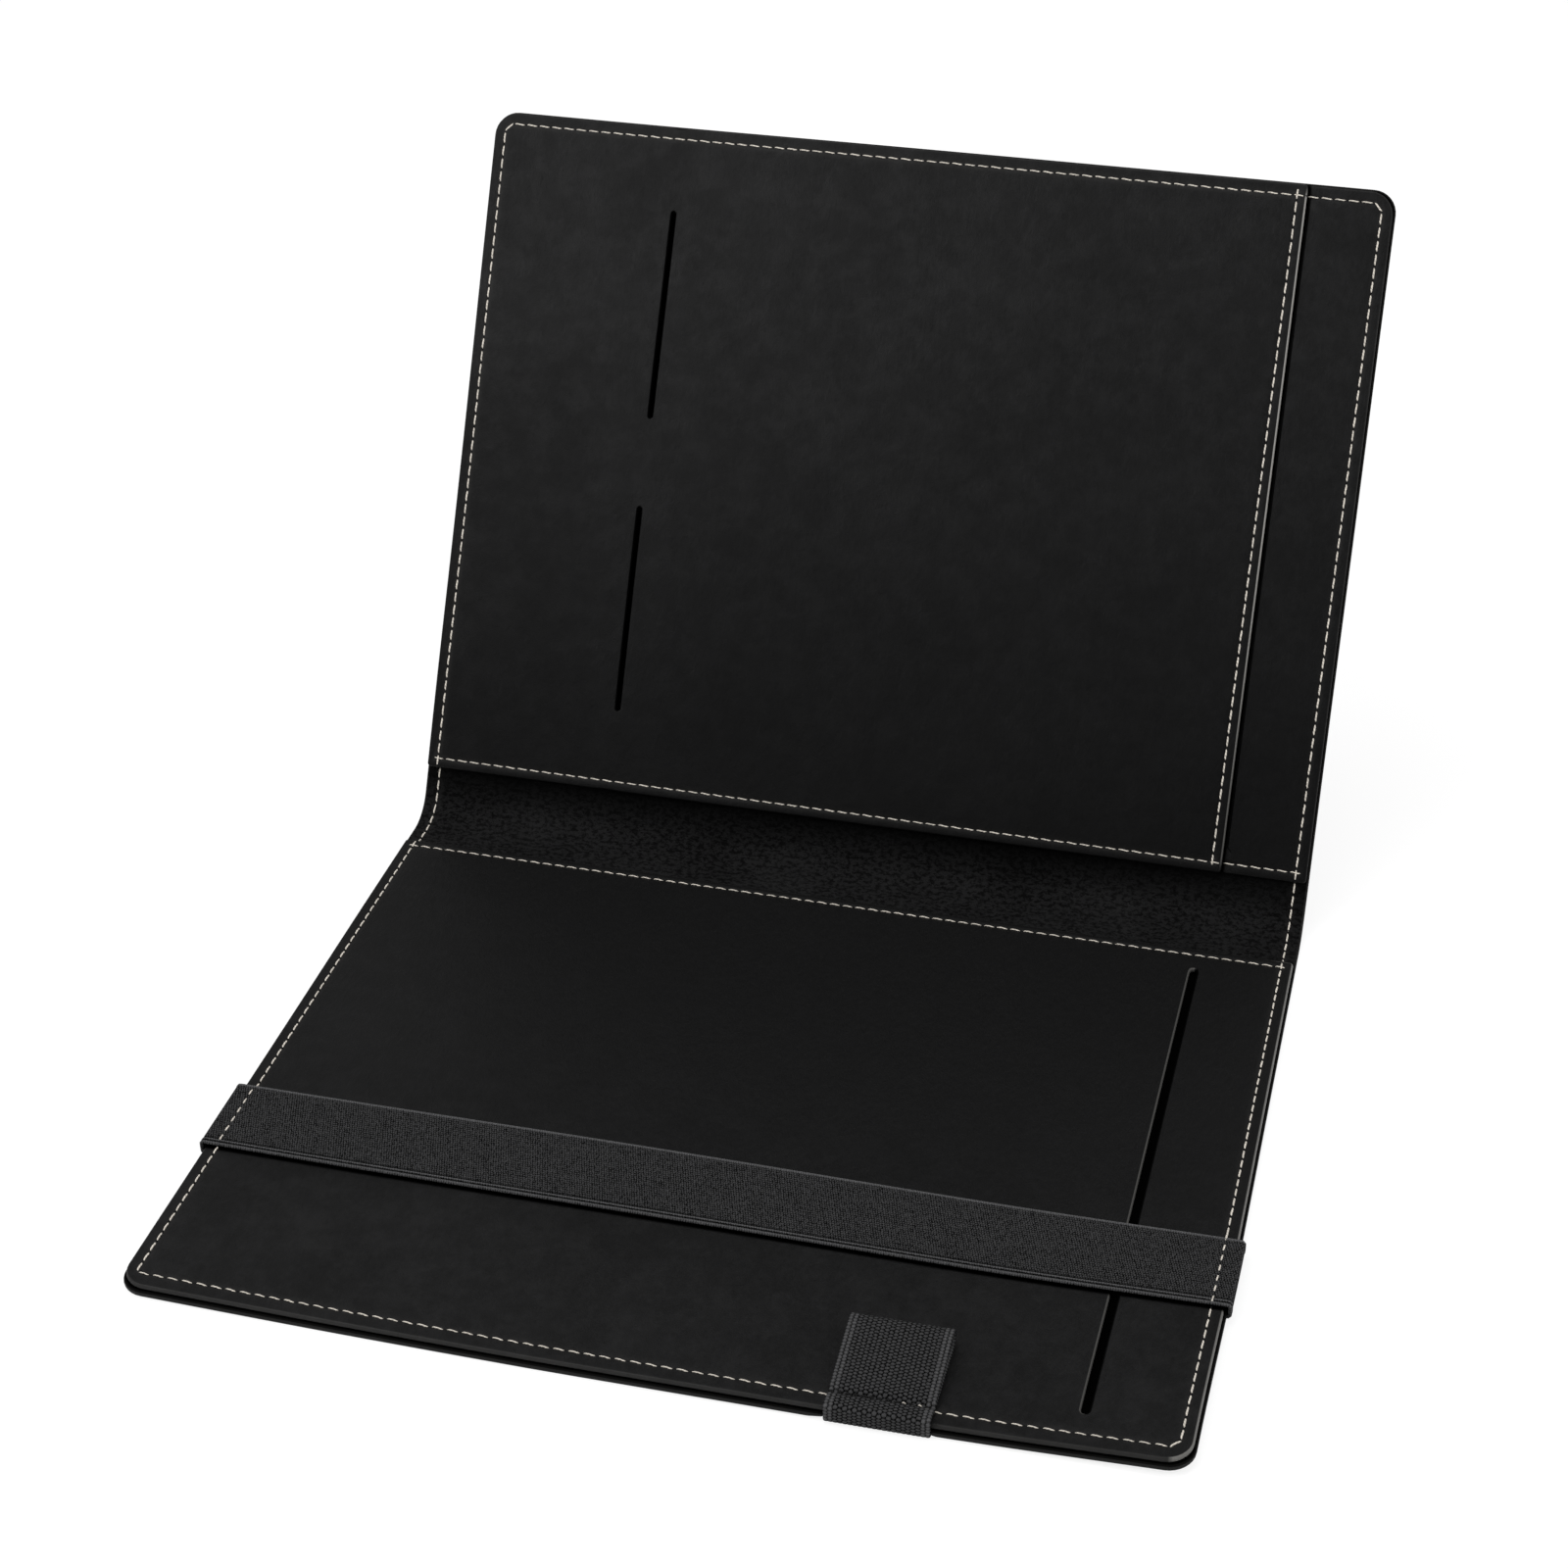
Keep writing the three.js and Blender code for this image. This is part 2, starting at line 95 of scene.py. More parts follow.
class Folio:
    """The outer leather unfolded, and how it lies at rest: flat, round the spine's arc, then flat again."""

    wave_height = 0.6 * MM
    corner_lift = 2.16 * MM
    front_sag = 0.27 * MM
    sway_depth = 1.5 * MM
    sway_length = 300 * MM
    draw_in = 1.3 * MM

    def __init__(self):
        low, high = corners("back_cover_leather")
        folds = {joint["name"]: np.array(joint["pos_m"]) for joint in frame["joints"]}
        self.half = high[0]
        self.front = low[1]
        self.thick = high[2] - low[2]
        self.back_fold = folds["spine_fold"]
        self.front_fold = folds["cover_fold"]
        chord = self.front_fold - self.back_fold
        half_turn = math.atan2(chord[2], chord[1])
        self.turn = 2 * half_turn
        self.radius = np.linalg.norm(chord) / (2 * math.sin(half_turn))
        self.s_back = self.back_fold[1] - self.front
        self.s_front = self.s_back + self.radius * self.turn
        self.s_middle = (self.s_back + self.s_front) / 2
        self.along = np.array([0, math.cos(self.turn), math.sin(self.turn)])
        self.inward = np.array([0, -math.sin(self.turn), math.cos(self.turn)])
        self.end = self.flat_box("front_cover_leather")[1][1]

    def flat_box(self, node):
        """The lowest and highest (x, s, n) of a node that is part of the front cover."""
        mesh = frame["nodes"][node].data
        points = np.empty(len(mesh.vertices) * 3, np.float32)
        mesh.vertices.foreach_get("co", points)
        offset = points.reshape(-1, 3) - self.front_fold
        s = self.s_front + offset @ self.along
        n = self.thick / 2 + offset @ self.inward
        flat = np.stack([offset[:, 0] + self.front_fold[0], s, n], axis=-1)
        return flat.min(0), flat.max(0)

    def lift(self, x, s):
        """How far the leather stands off a true plane: slow waves that fade out towards the spine. The lower
        cover also rises at its right front corner and sags in the middle of its front edge."""
        away = np.where(s < self.s_middle, self.s_back - s, s - self.s_front)
        corner = step_up(x, 0.08, 0.18) * step_up(-s, -0.14, 0)
        middle = step_up(-abs(x - 0.01), -0.11, -0.03) * step_up(-s, -0.1, 0)
        lying = self.wave_height * (0.5 + 0.5 * np.sin(26 * x + 17 * s + 0.7))
        lying += self.corner_lift * corner - self.front_sag * middle
        leaning = self.wave_height * (np.sin(21 * x - 15 * s + 1.9) + 0.4 * np.sin(37 * x + 29 * s))
        return step_up(away, 0, 0.09) * np.where(s < self.s_middle, np.maximum(lying, 0), leaning)

    def bend(self, flat):
        """Unfolded points (..., 3) laid in the row frame. On the arc the height above the middle of the
        leather shortens the radius, and past the arc the point runs straight on. Near the front edge the
        leather sways forward and back, and its right side draws in."""
        x, s, n = flat[..., 0], flat[..., 1], flat[..., 2] + self.lift(flat[..., 0], flat[..., 1])
        near = step_up(-s, -0.1, 0)
        sway = self.sway_depth * near * np.sin(math.pi * (x + self.half) / self.sway_length)
        x = x - self.draw_in * near * step_up(x, 0.1, 0.16)
        turn = np.clip((s - self.s_back) / self.radius, 0, self.turn)
        past = np.maximum(s - self.s_front, 0)
        reach = self.radius - (n - self.thick / 2)
        run = np.minimum(s - self.s_back, 0) + past * self.along[1]
        y = self.back_fold[1] + run + reach * np.sin(turn) - sway
        z = self.back_fold[2] + past * self.along[2] + self.radius - reach * np.cos(turn)
        return np.stack([x, y, z], axis=-1)


def step_up(value, start, end):
    """A smooth step from 0 to 1 between start and end."""
    share = np.clip((value - start) / (end - start), 0, 1)
    return share * share * (3 - 2 * share)


def hump(distance, width):
    """1 where the distance is 0, and falling off smoothly on both sides."""
    return np.exp(-((distance / width) ** 2))


def unit(vectors):
    """Vectors (..., 2) brought to a length of 1."""
    return vectors / np.linalg.norm(vectors, axis=-1, keepdims=True)


def leftward(vectors):
    """Vectors (..., 2) turned a quarter to the left."""
    return np.stack([-vectors[..., 1], vectors[..., 0]], axis=-1)


def travel_along(path):
    """The distance from the start of a path to each of its points."""
    return np.append(0, np.cumsum(np.linalg.norm(np.diff(path, axis=0), axis=1)))


folio = Folio()
notepad_low, notepad_high = corners("notepad_panel")
lining_low, lining_high = folio.flat_box("front_lining")
pocket_low, pocket_high = folio.flat_box("document_pocket_panel")
band_low, band_high = corners("closure_band")
loop_low, loop_high = corners("pen_loop")


# Sizes and colours


def length(name, default, description):
    return FloatProperty(name=name, description=description, default=default, unit="LENGTH", precision=5)


def colour(name, default, description):
    return FloatVectorProperty(
        name=name, description=description, default=default, size=3, min=0, max=1, subtype="COLOR"
    )


class OrganizerSizes(bpy.types.PropertyGroup):
    corner_radius: length("Corner radius", 8 * MM, "Rounding of the covers' outer corners")
    panel_corner: length("Panel corner", 1.2 * MM, "Rounding of the panels' other corners")
    outer_overhang: length("Outer overhang", 1.4 * MM, "How far the outer leather stands out past its size")
    front_overhang: length("Front overhang", 2.4 * MM, "The same at the front edge, under the pen loop")
    panel_overhang: length("Panel overhang", 0.5 * MM, "How far the panels stand out past their size")
    panel_front: length("Panel front overhang", 1.7 * MM, "The same at the front edge")
    seam_margin: length("Seam margin", 3.3 * MM, "Distance from a leather's edge to its row of stitches")
    seam_corner: length("Seam corner", 2.6 * MM, "Radius of the row of stitches at a corner")
    stitch_pitch: length("Stitch pitch", 4.62 * MM, "Distance from one stitch to the next")
    stitch_length: length("Stitch length", 3.95 * MM, "Visible length of one stitch")
    thread_width: length("Thread width", 0.52 * MM, "Width of the sewing thread")
    groove_depth: length("Groove depth", 0.25 * MM, "How deep a row of stitches pulls the leather in")
    slit_width: length("Slit width", 2.7 * MM, "Width of the long slit")
    slit_margin: length("Slit margin", 11.25 * MM, "Distance from the long slit to the panel's edges")
    slit_x: length("Slit place", 128 * MM, "Place of the long slit along the spine")
    card_slit_x: length("Card slit place", -91 * MM, "Place of the two short slits along the spine")
    card_slit_width: length("Card slit width", 1.6 * MM, "Width of the two short slits")
    card_slit_length: length("Card slit length", 73.5 * MM, "Length of each short slit")
    card_slit_spacing: length("Card slit spacing", 105.5 * MM, "Distance between the short slits' middles")
    layer_gap: length("Layer gap", 0.3 * MM, "Gap between two layers of leather")
    loop_thickness: length("Loop elastic", 1 * MM, "Thickness of the pen loop's elastic")
    band_thickness: length("Band elastic", 1.2 * MM, "Thickness of the closure band's elastic")
    elastic_tail: length("Elastic tail", 11 * MM, "Length of the elastic under the back cover")
    elastic_bend: length("Elastic bend", 0.9 * MM, "Radius at which the elastic bends round an edge")
    loop_neck: length("Loop neck", 4.2 * MM, "Where the pen loop lifts off, from the front edge")
    loop_shoulder: length("Loop shoulder", 22 * MM, "Length over which the pen loop rises")
    loop_more: length("Loop overhang", 7 * MM, "How far the pen loop reaches past its size")
    loop_crease: length("Loop crease", 1.3 * MM, "How deep the seam presses into the pen loop")
    loop_ribs: IntProperty(name="Loop ribs", description="Cords woven along the pen loop", default=22)


class OrganizerColours(bpy.types.PropertyGroup):
    outer: colour("Outer leather", (0.0045, 0.0045, 0.0047), "Grain side of the outer leather")
    panel: colour("Panel leather", (0.0032, 0.0032, 0.0033), "Inner panels")
    suede: colour("Suede", (0.0050, 0.0050, 0.0051), "Flesh side of the outer leather")
    burnish: colour("Burnished edge", (0.15, 0.146, 0.138), "Cut edges of the inner panels")
    elastic: colour("Elastic", (0.019, 0.019, 0.0195), "Closure band and pen loop")
    thread: colour("Thread", (0.93, 0.86, 0.76), "Sewing thread")
    floor: colour("Floor", (0.93, 0.93, 0.93), "Floor of the studio")


def sizes():
    return bpy.context.scene.organizer_sizes


def colours():
    return bpy.context.scene.organizer_colours


# Shader maths


class Wire:
    """A shader socket that Python's operators work on. Each operator adds the Math node for it."""

    def __init__(self, tree, socket):
        self.tree = tree
        self.socket = socket

    def math(self, operation, *values):
        return add_node(self.tree, "ShaderNodeMath", {"operation": operation}, slots=dict(enumerate(values)))

    def __add__(self, other):
        return self.math("ADD", self, other)

    def __sub__(self, other):
        return self.math("SUBTRACT", self, other)

    def __rsub__(self, other):
        return self.math("SUBTRACT", other, self)

    def __mul__(self, other):
        return self.math("MULTIPLY", self, other)

    def __truediv__(self, other):
        return self.math("DIVIDE", self, other)

    __radd__ = __add__
    __rmul__ = __mul__

    def sine(self):
        return self.math("SINE", self)

    def size(self):
        return self.math("ABSOLUTE", self)

    def floor(self):
        return self.math("FLOOR", self)

    def larger(self, other):
        return self.math("MAXIMUM", self, other)

    def band(self, low, high):
        """0 below low, 1 above high and a smooth step between them."""
        inputs = {"Value": self, "From Min": low, "From Max": high}
        return add_node(self.tree, "ShaderNodeMapRange", {"interpolation_type": "SMOOTHSTEP"}, **inputs)


def add_node(tree, kind, settings=None, output=0, slots=None, **inputs):
    """Adds a node and returns one of its outputs. Settings are its own properties. Slots and inputs are
    values or links for its sockets, by number and by name."""
    node = tree.nodes.new(kind)
    for key, value in (settings or {}).items():
        setattr(node, key, value)
    for key, value in {**(slots or {}), **inputs}.items():
        if isinstance(value, Wire):
            tree.links.new(value.socket, node.inputs[key])
        else:
            node.inputs[key].default_value = value
    return Wire(tree, node.outputs[output]) if node.outputs else None


def empty_tree(owner):
    """The node tree of a material or a world, with no nodes in it."""
    owner.use_nodes = True
    owner.node_tree.nodes.clear()
    return owner.node_tree


def rgba(value):
    """A colour of three numbers as four, and a socket as it is."""
    if isinstance(value, Wire):
        return value
    return (*tuple(value)[:3], 1.0)


def scaled(value, share):
    return tuple(part * share for part in tuple(value)[:3])


class Finish:
    """A material on one Principled surface, with a method that adds any node."""

    def __init__(self, name, specular):
        self.material = bpy.data.materials.new(name)
        self.tree = empty_tree(self.material)
        self.specular = specular
        self.place = self.attribute(PLACE)

    def node(self, kind, settings=None, output=0, slots=None, **inputs):
        return add_node(self.tree, kind, settings, output, slots, **inputs)

    def attribute(self, name, output="Vector"):
        return self.node("ShaderNodeAttribute", {"attribute_name": name}, output)

    def split(self, vector):
        first = self.node("ShaderNodeSeparateXYZ", slots={0: vector})
        return [Wire(self.tree, socket) for socket in first.socket.node.outputs]

    def noise(self, place, scale, detail, roughness):
        settings = {"Vector": place, "Scale": scale, "Detail": detail, "Roughness": roughness}
        return self.node("ShaderNodeTexNoise", **settings)

    def moved(self, place, offset=(0, 0, 0), scales=(1, 1, 1)):
        return self.node("ShaderNodeMapping", Vector=place, Location=offset, Scale=scales)

    def mix(self, factor, first, second):
        """A colour between two colours, which a Mix node takes in its slots 6 and 7."""
        slots = {0: factor, 6: rgba(first), 7: rgba(second)}
        return self.node("ShaderNodeMix", {"data_type": "RGBA", "clamp_factor": True}, 2, slots)

    def shade(self, tone, roughness, height, distance, painted_shade_dull=0.0):
        """Ends the material with its colour, roughness and a bump whose height is in metres. Where painted
        shade is given, the surface becomes a black metal, which takes the shine away as part of that painted
        shade."""
        bump = self.node("ShaderNodeBump", Strength=1.0, Distance=distance, Height=height)
        inputs = {
            "Base Color": rgba(tone),
            "Metallic": painted_shade_dull,
            "Roughness": roughness,
            "Specular IOR Level": self.specular,
            "Normal": bump,
        }
        surface = self.node("ShaderNodeBsdfPrincipled", **inputs)
        self.node("ShaderNodeOutputMaterial", Surface=surface)
        return self.material


# Finishes


def smooth_leather(name, burnish, seed, painted_shade_span, shadows):
    """Waxed leather: cloudy tone, fine pores and creases, and cut edges that are burnished where the edge
    attribute is above 0, with painted highlights where that value is raised, and painted dark as shade below
    0.
    The painted shade span says where along the unfolded leather it is brightest, where its painted shade is
    fullest, and how much shine it takes there. Each shadow is a painted shadow: an axis of the unfolded place
    and four values along it, dark from the second to the third, and soft beside."""
    finish = Finish(name, specular=0.15)
    base = colours().panel
    bright, dim, most = painted_shade_span
    s = finish.split(finish.place)[1]
    # Painted shade: from the bright end of the span towards the other end, the leather is painted darker and
    # loses its shine.
    depth = s.band(bright, dim) if bright < dim else 1 - s.band(dim, bright)
    place = finish.moved(finish.place, offset=(seed, seed * 0.7, 0))
    clouds = finish.noise(place, 17.0, 4.0, 0.6).band(0.34, 0.70)
    stains = finish.noise(place, 120.0, 4.0, 0.7).band(0.38, 0.70)
    pores = finish.noise(place, 2600.0, 2.0, 0.6)
    creases = finish.noise(finish.moved(place, scales=(1, 0.55, 1)), 620.0, 4.0, 0.62)
    edge = finish.attribute(EDGE, "Fac")
    share = 0.19 + clouds * 0.22 + stains * 0.45 + (pores - 0.5) * 1.3 + (creases - 0.5) * 0.8
    tone = finish.mix(share, scaled(base, 0.4), scaled(base, 2.9))
    tone = finish.mix(depth * 0.7, tone, scaled(base, 0.9))
    # Burnish on the cut edges, with painted highlights where the edge value is raised.
    tone = finish.mix(edge, tone, burnish)
    # Painted shade: edge values below 0 and each painted shadow mix the tone towards near black.
    dark = edge * -1
    for axis, start, full, fading, clear in shadows:
        along = finish.split(finish.place)[axis]
        dark = dark.larger(along.band(start, full) * (1 - along.band(fading, clear)))
    tone = finish.mix(dark, tone, scaled(base, 0.03))
    roughness = 0.54 - clouds * 0.04 - stains * 0.05 + (pores - 0.5) * 0.3 - edge * 0.1
    # Black metal takes the shine away under the painted shade and the painted shadows.
    painted_shade_dull = (depth * most).larger(dark)
    return finish.shade(tone, roughness, creases * 0.65 + pores * 0.35, 0.34 * MM, painted_shade_dull)


def outer_finish():
    """The outer leather: pebbled grain outside, brushed suede inside and slightly paler cut edges. The suede
    has painted shade under the panels and a painted shadow that grows darker towards the front panel."""
    finish = Finish("outer leather", specular=0.1)
    base = colours().outer
    flesh = colours().suede
    _, s, n = finish.split(finish.place)
    inside = n.band(folio.thick * 0.78, folio.thick * 0.84)
    pebbles = finish.node("ShaderNodeTexVoronoi", {"feature": "SMOOTH_F1"}, Vector=finish.place, Scale=900.0)
    pores = finish.noise(finish.place, 2600.0, 2.0, 0.6)
    clouds = finish.noise(finish.place, 14.0, 4.0, 0.55).band(0.3, 0.72)
    grain = finish.mix(clouds * 0.8 + pores * 0.2, scaled(base, 0.78), scaled(base, 1.35))
    nap = finish.noise(finish.moved(finish.place, scales=(1, 1.4, 1)), 480.0, 5.0, 0.68)
    tufts = finish.noise(finish.place, 1300.0, 3.0, 0.75)
    worn = finish.noise(finish.place, 28.0, 3.0, 0.6)
    brushed = nap.band(0.41, 0.56) * 0.7 + tufts * 0.6 + (worn - 0.5) * 1.1 - 0.25
    past_notepad = s - (notepad_high[1] - folio.front)
    before_lining = lining_low[1] - s
    # Painted shade on the suede under the panels.
    hidden = 1 - past_notepad.band(-2 * MM, 0) * before_lining.band(-2 * MM, 0)
    # Painted shadow of the front panel on the suede.
    shaded = 1 - before_lining.band(-2 * MM, 17 * MM)
    suede = finish.mix(brushed, scaled(flesh, 0.1), scaled(flesh, 2.7))
    suede = finish.mix(hidden, suede, scaled(flesh, 0.08))
    suede = finish.mix(shaded * 0.8, suede, scaled(flesh, 0.1))
    tone = finish.mix(inside, grain, suede)
    tone = finish.mix(finish.attribute(EDGE, "Fac"), tone, colours().burnish)
    roughness = 0.52 + (pores - 0.5) * 0.15 + inside * 0.4
    height = (pebbles * 0.5 + pores * 0.2) * (1 - inside) + (nap * 2.6 + tufts * 1.6) * inside
    # Black metal takes the shine from the suede's painted shade and painted shadow.
    painted_shade_dull = inside * (hidden * 0.8).larger(shaded * 0.4)
    return finish.shade(tone, roughness, height, 0.3 * MM, painted_shade_dull)


def woven_elastic(name, rib_pitch, bead_pitch, twill, wild):
    """Woven elastic: cords along the strip, each a chain of small beads. The beads of neighbouring cords are
    shifted by the twill, wild yarn hides the pattern, yarn that lies high gets a painted highlight and low
    yarn painted shade. The edge attribute gives rims a painted highlight where it is above 0 and painted
    shade below it."""
    finish = Finish(name, specular=0.1)
    along, across, _ = finish.split(finish.place)
    uneven = finish.noise(finish.place, 700.0, 2.0, 0.5) - 0.5
    cord = across / rib_pitch
    cords = (cord * math.pi + uneven * 0.8).sine().size()
    beads = (along * (math.pi / bead_pitch) + cord.floor() * twill + uneven * (2 * wild)).sine().size()
    grain = finish.noise(finish.place, 1500.0, 2.0, 0.6) - 0.5
    fuzz = finish.noise(finish.place, 3600.0, 3.0, 0.7) - 0.5
    yarn = cords * 0.46 + beads * 0.68 - 0.15 + grain * (1.2 * wild) + fuzz * 0.8
    # Painted highlight on high yarn, painted shade on low yarn.
    tone = finish.mix(yarn.band(0.2, 0.9), scaled(colours().elastic, 0.02), scaled(colours().elastic, 3.1))
    rim = finish.attribute(EDGE, "Fac")
    # Painted highlight on the rims, then painted shade where the edge value is below 0.
    tone = finish.mix(rim * 0.9, tone, scaled(colours().elastic, 8))
    tone = finish.mix(rim * -1, tone, scaled(colours().elastic, 0.02))
    height = cords * 0.3 + beads * 0.8 + grain + fuzz * 0.5
    # Black metal takes the shine from the low yarn, as painted shade.
    painted_shade_dull = (0.6 - yarn.band(0.2, 0.7) * 0.6) * (1 - rim)
    return finish.shade(tone, 0.85 + fuzz * 0.1, height, 0.6 * MM, painted_shade_dull)


def sewing_thread():
    """Waxed thread: three plies twisted round each other, and a tone of its own for each stitch."""
    finish = Finish("sewing thread", specular=0.3)
    along, around, own = finish.split(finish.place)
    plies = ((along * 3.0 + around) * (2 * math.pi)).sine()
    fibre = finish.noise(finish.node("ShaderNodeTexCoord", output="Object"), 3500.0, 3.0, 0.7)
    tone = finish.mix(own * 0.45 + fibre * 0.3, colours().thread, scaled(colours().thread, 0.62))
    # Painted shade in the grooves between the plies.
    tone = finish.mix((plies * 0.5 + 0.5).band(0.0, 0.3), scaled(colours().thread, 0.6), tone)
    # Painted shade on the needle holes and the sunk stitches.
    tone = finish.mix(finish.attribute(EDGE, "Fac"), tone, scaled(colours().outer, 0.3))
    return finish.shade(tone, 0.62 + fibre * 0.2, plies * 0.6 + fibre * 0.4, 0.2 * MM)


# Meshes


def grid_quads(index, flip=False, wrap=False):
    """The quads between the rows and columns of an array of vertex numbers."""
    if wrap:
        index = np.concatenate([index, index[:, :1]], axis=1)
    a, b, c, d = index[:-1, :-1], index[:-1, 1:], index[1:, 1:], index[1:, :-1]
    order = (a, d, c, b) if flip else (a, b, c, d)
    return np.stack(order, axis=-1).reshape(-1, 4)


def weld(points, quads):
    """Merges points that lie together, and makes a triangle of each quad that loses a corner that way."""
    key = np.round(points / (0.002 * MM)).astype(np.int64)
    _, first, inverse = np.unique(key, axis=0, return_index=True, return_inverse=True)
    quads = inverse.reshape(-1)[quads]
    same = quads == np.roll(quads, -1, axis=1)
    folded = (quads[:, 0] == quads[:, 2]) | (quads[:, 1] == quads[:, 3])
    whole = quads[~same.any(axis=1) & ~folded]
    halved = (same.sum(axis=1) == 1) & ~folded
    keep = np.arange(4) != same[halved].argmax(axis=1)[:, None]
    return first, whole, quads[halved][keep].reshape(-1, 3)


def add_object(name, data):
    piece = bpy.data.objects.new(name, data)
    bpy.context.scene.collection.objects.link(piece)
    return piece


def make_piece(name, flat, quads, edge, finish, place=None):
    """Welds and bends the unfolded points and makes an object of them, with the place and edge attributes."""
    used, quads = np.unique(quads, return_inverse=True)
    quads = quads.reshape(-1, 4)
    place = (flat if place is None else place)[used]
    edge = edge[used]
    flat = flat[used]
    first, whole, triangles = weld(flat, quads)
    mesh = bpy.data.meshes.new(name)
    mesh.from_pydata(folio.bend(flat[first]).tolist(), [], whole.tolist() + triangles.tolist())
    mesh.polygons.foreach_set("use_smooth", np.ones(len(mesh.polygons), bool))
    mesh.set_sharp_from_angle(angle=math.radians(38))
    mesh.attributes.new(PLACE, "FLOAT_VECTOR", "POINT")
    mesh.attributes[PLACE].data.foreach_set("vector", place[first].astype(np.float32).ravel())
    mesh.attributes.new(EDGE, "FLOAT", "POINT")
    mesh.attributes[EDGE].data.foreach_set("value", edge[first].astype(np.float32))
    mesh.materials.append(finish)
    return add_object(name, mesh)


def dress(piece, body, slot, *nodes):
    """Lets a piece ride on a body, or stay where it lies for one of the two folds, and stand for its CAD
    nodes.
    """
    if body == "back fold":
        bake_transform(piece)
    elif body == "front fold":
        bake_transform(piece)
    else:
        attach(piece, body)
    if nodes:
        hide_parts(*nodes)


# Flat leather


def grid_lines(start, end, stops, step):
    """Lines from start to end that include the stops and lie no further apart than the step."""
    inside = [stop for stop in stops if start + TINY < stop < end - TINY]
    marks = np.unique(np.round([start, *inside, end], 7))
    spans = [
        np.linspace(a, b, max(1, math.ceil((b - a) / step)), endpoint=False)
        for a, b in zip(marks[:-1], marks[1:])
    ]
    return np.concatenate([*spans, [end]])


def four_sides(index):
    """The vertex numbers along the four sides of a grid, anticlockwise from its near left corner."""
    return [index[0, :], index[:, -1], index[-1, ::-1], index[::-1, 0]]


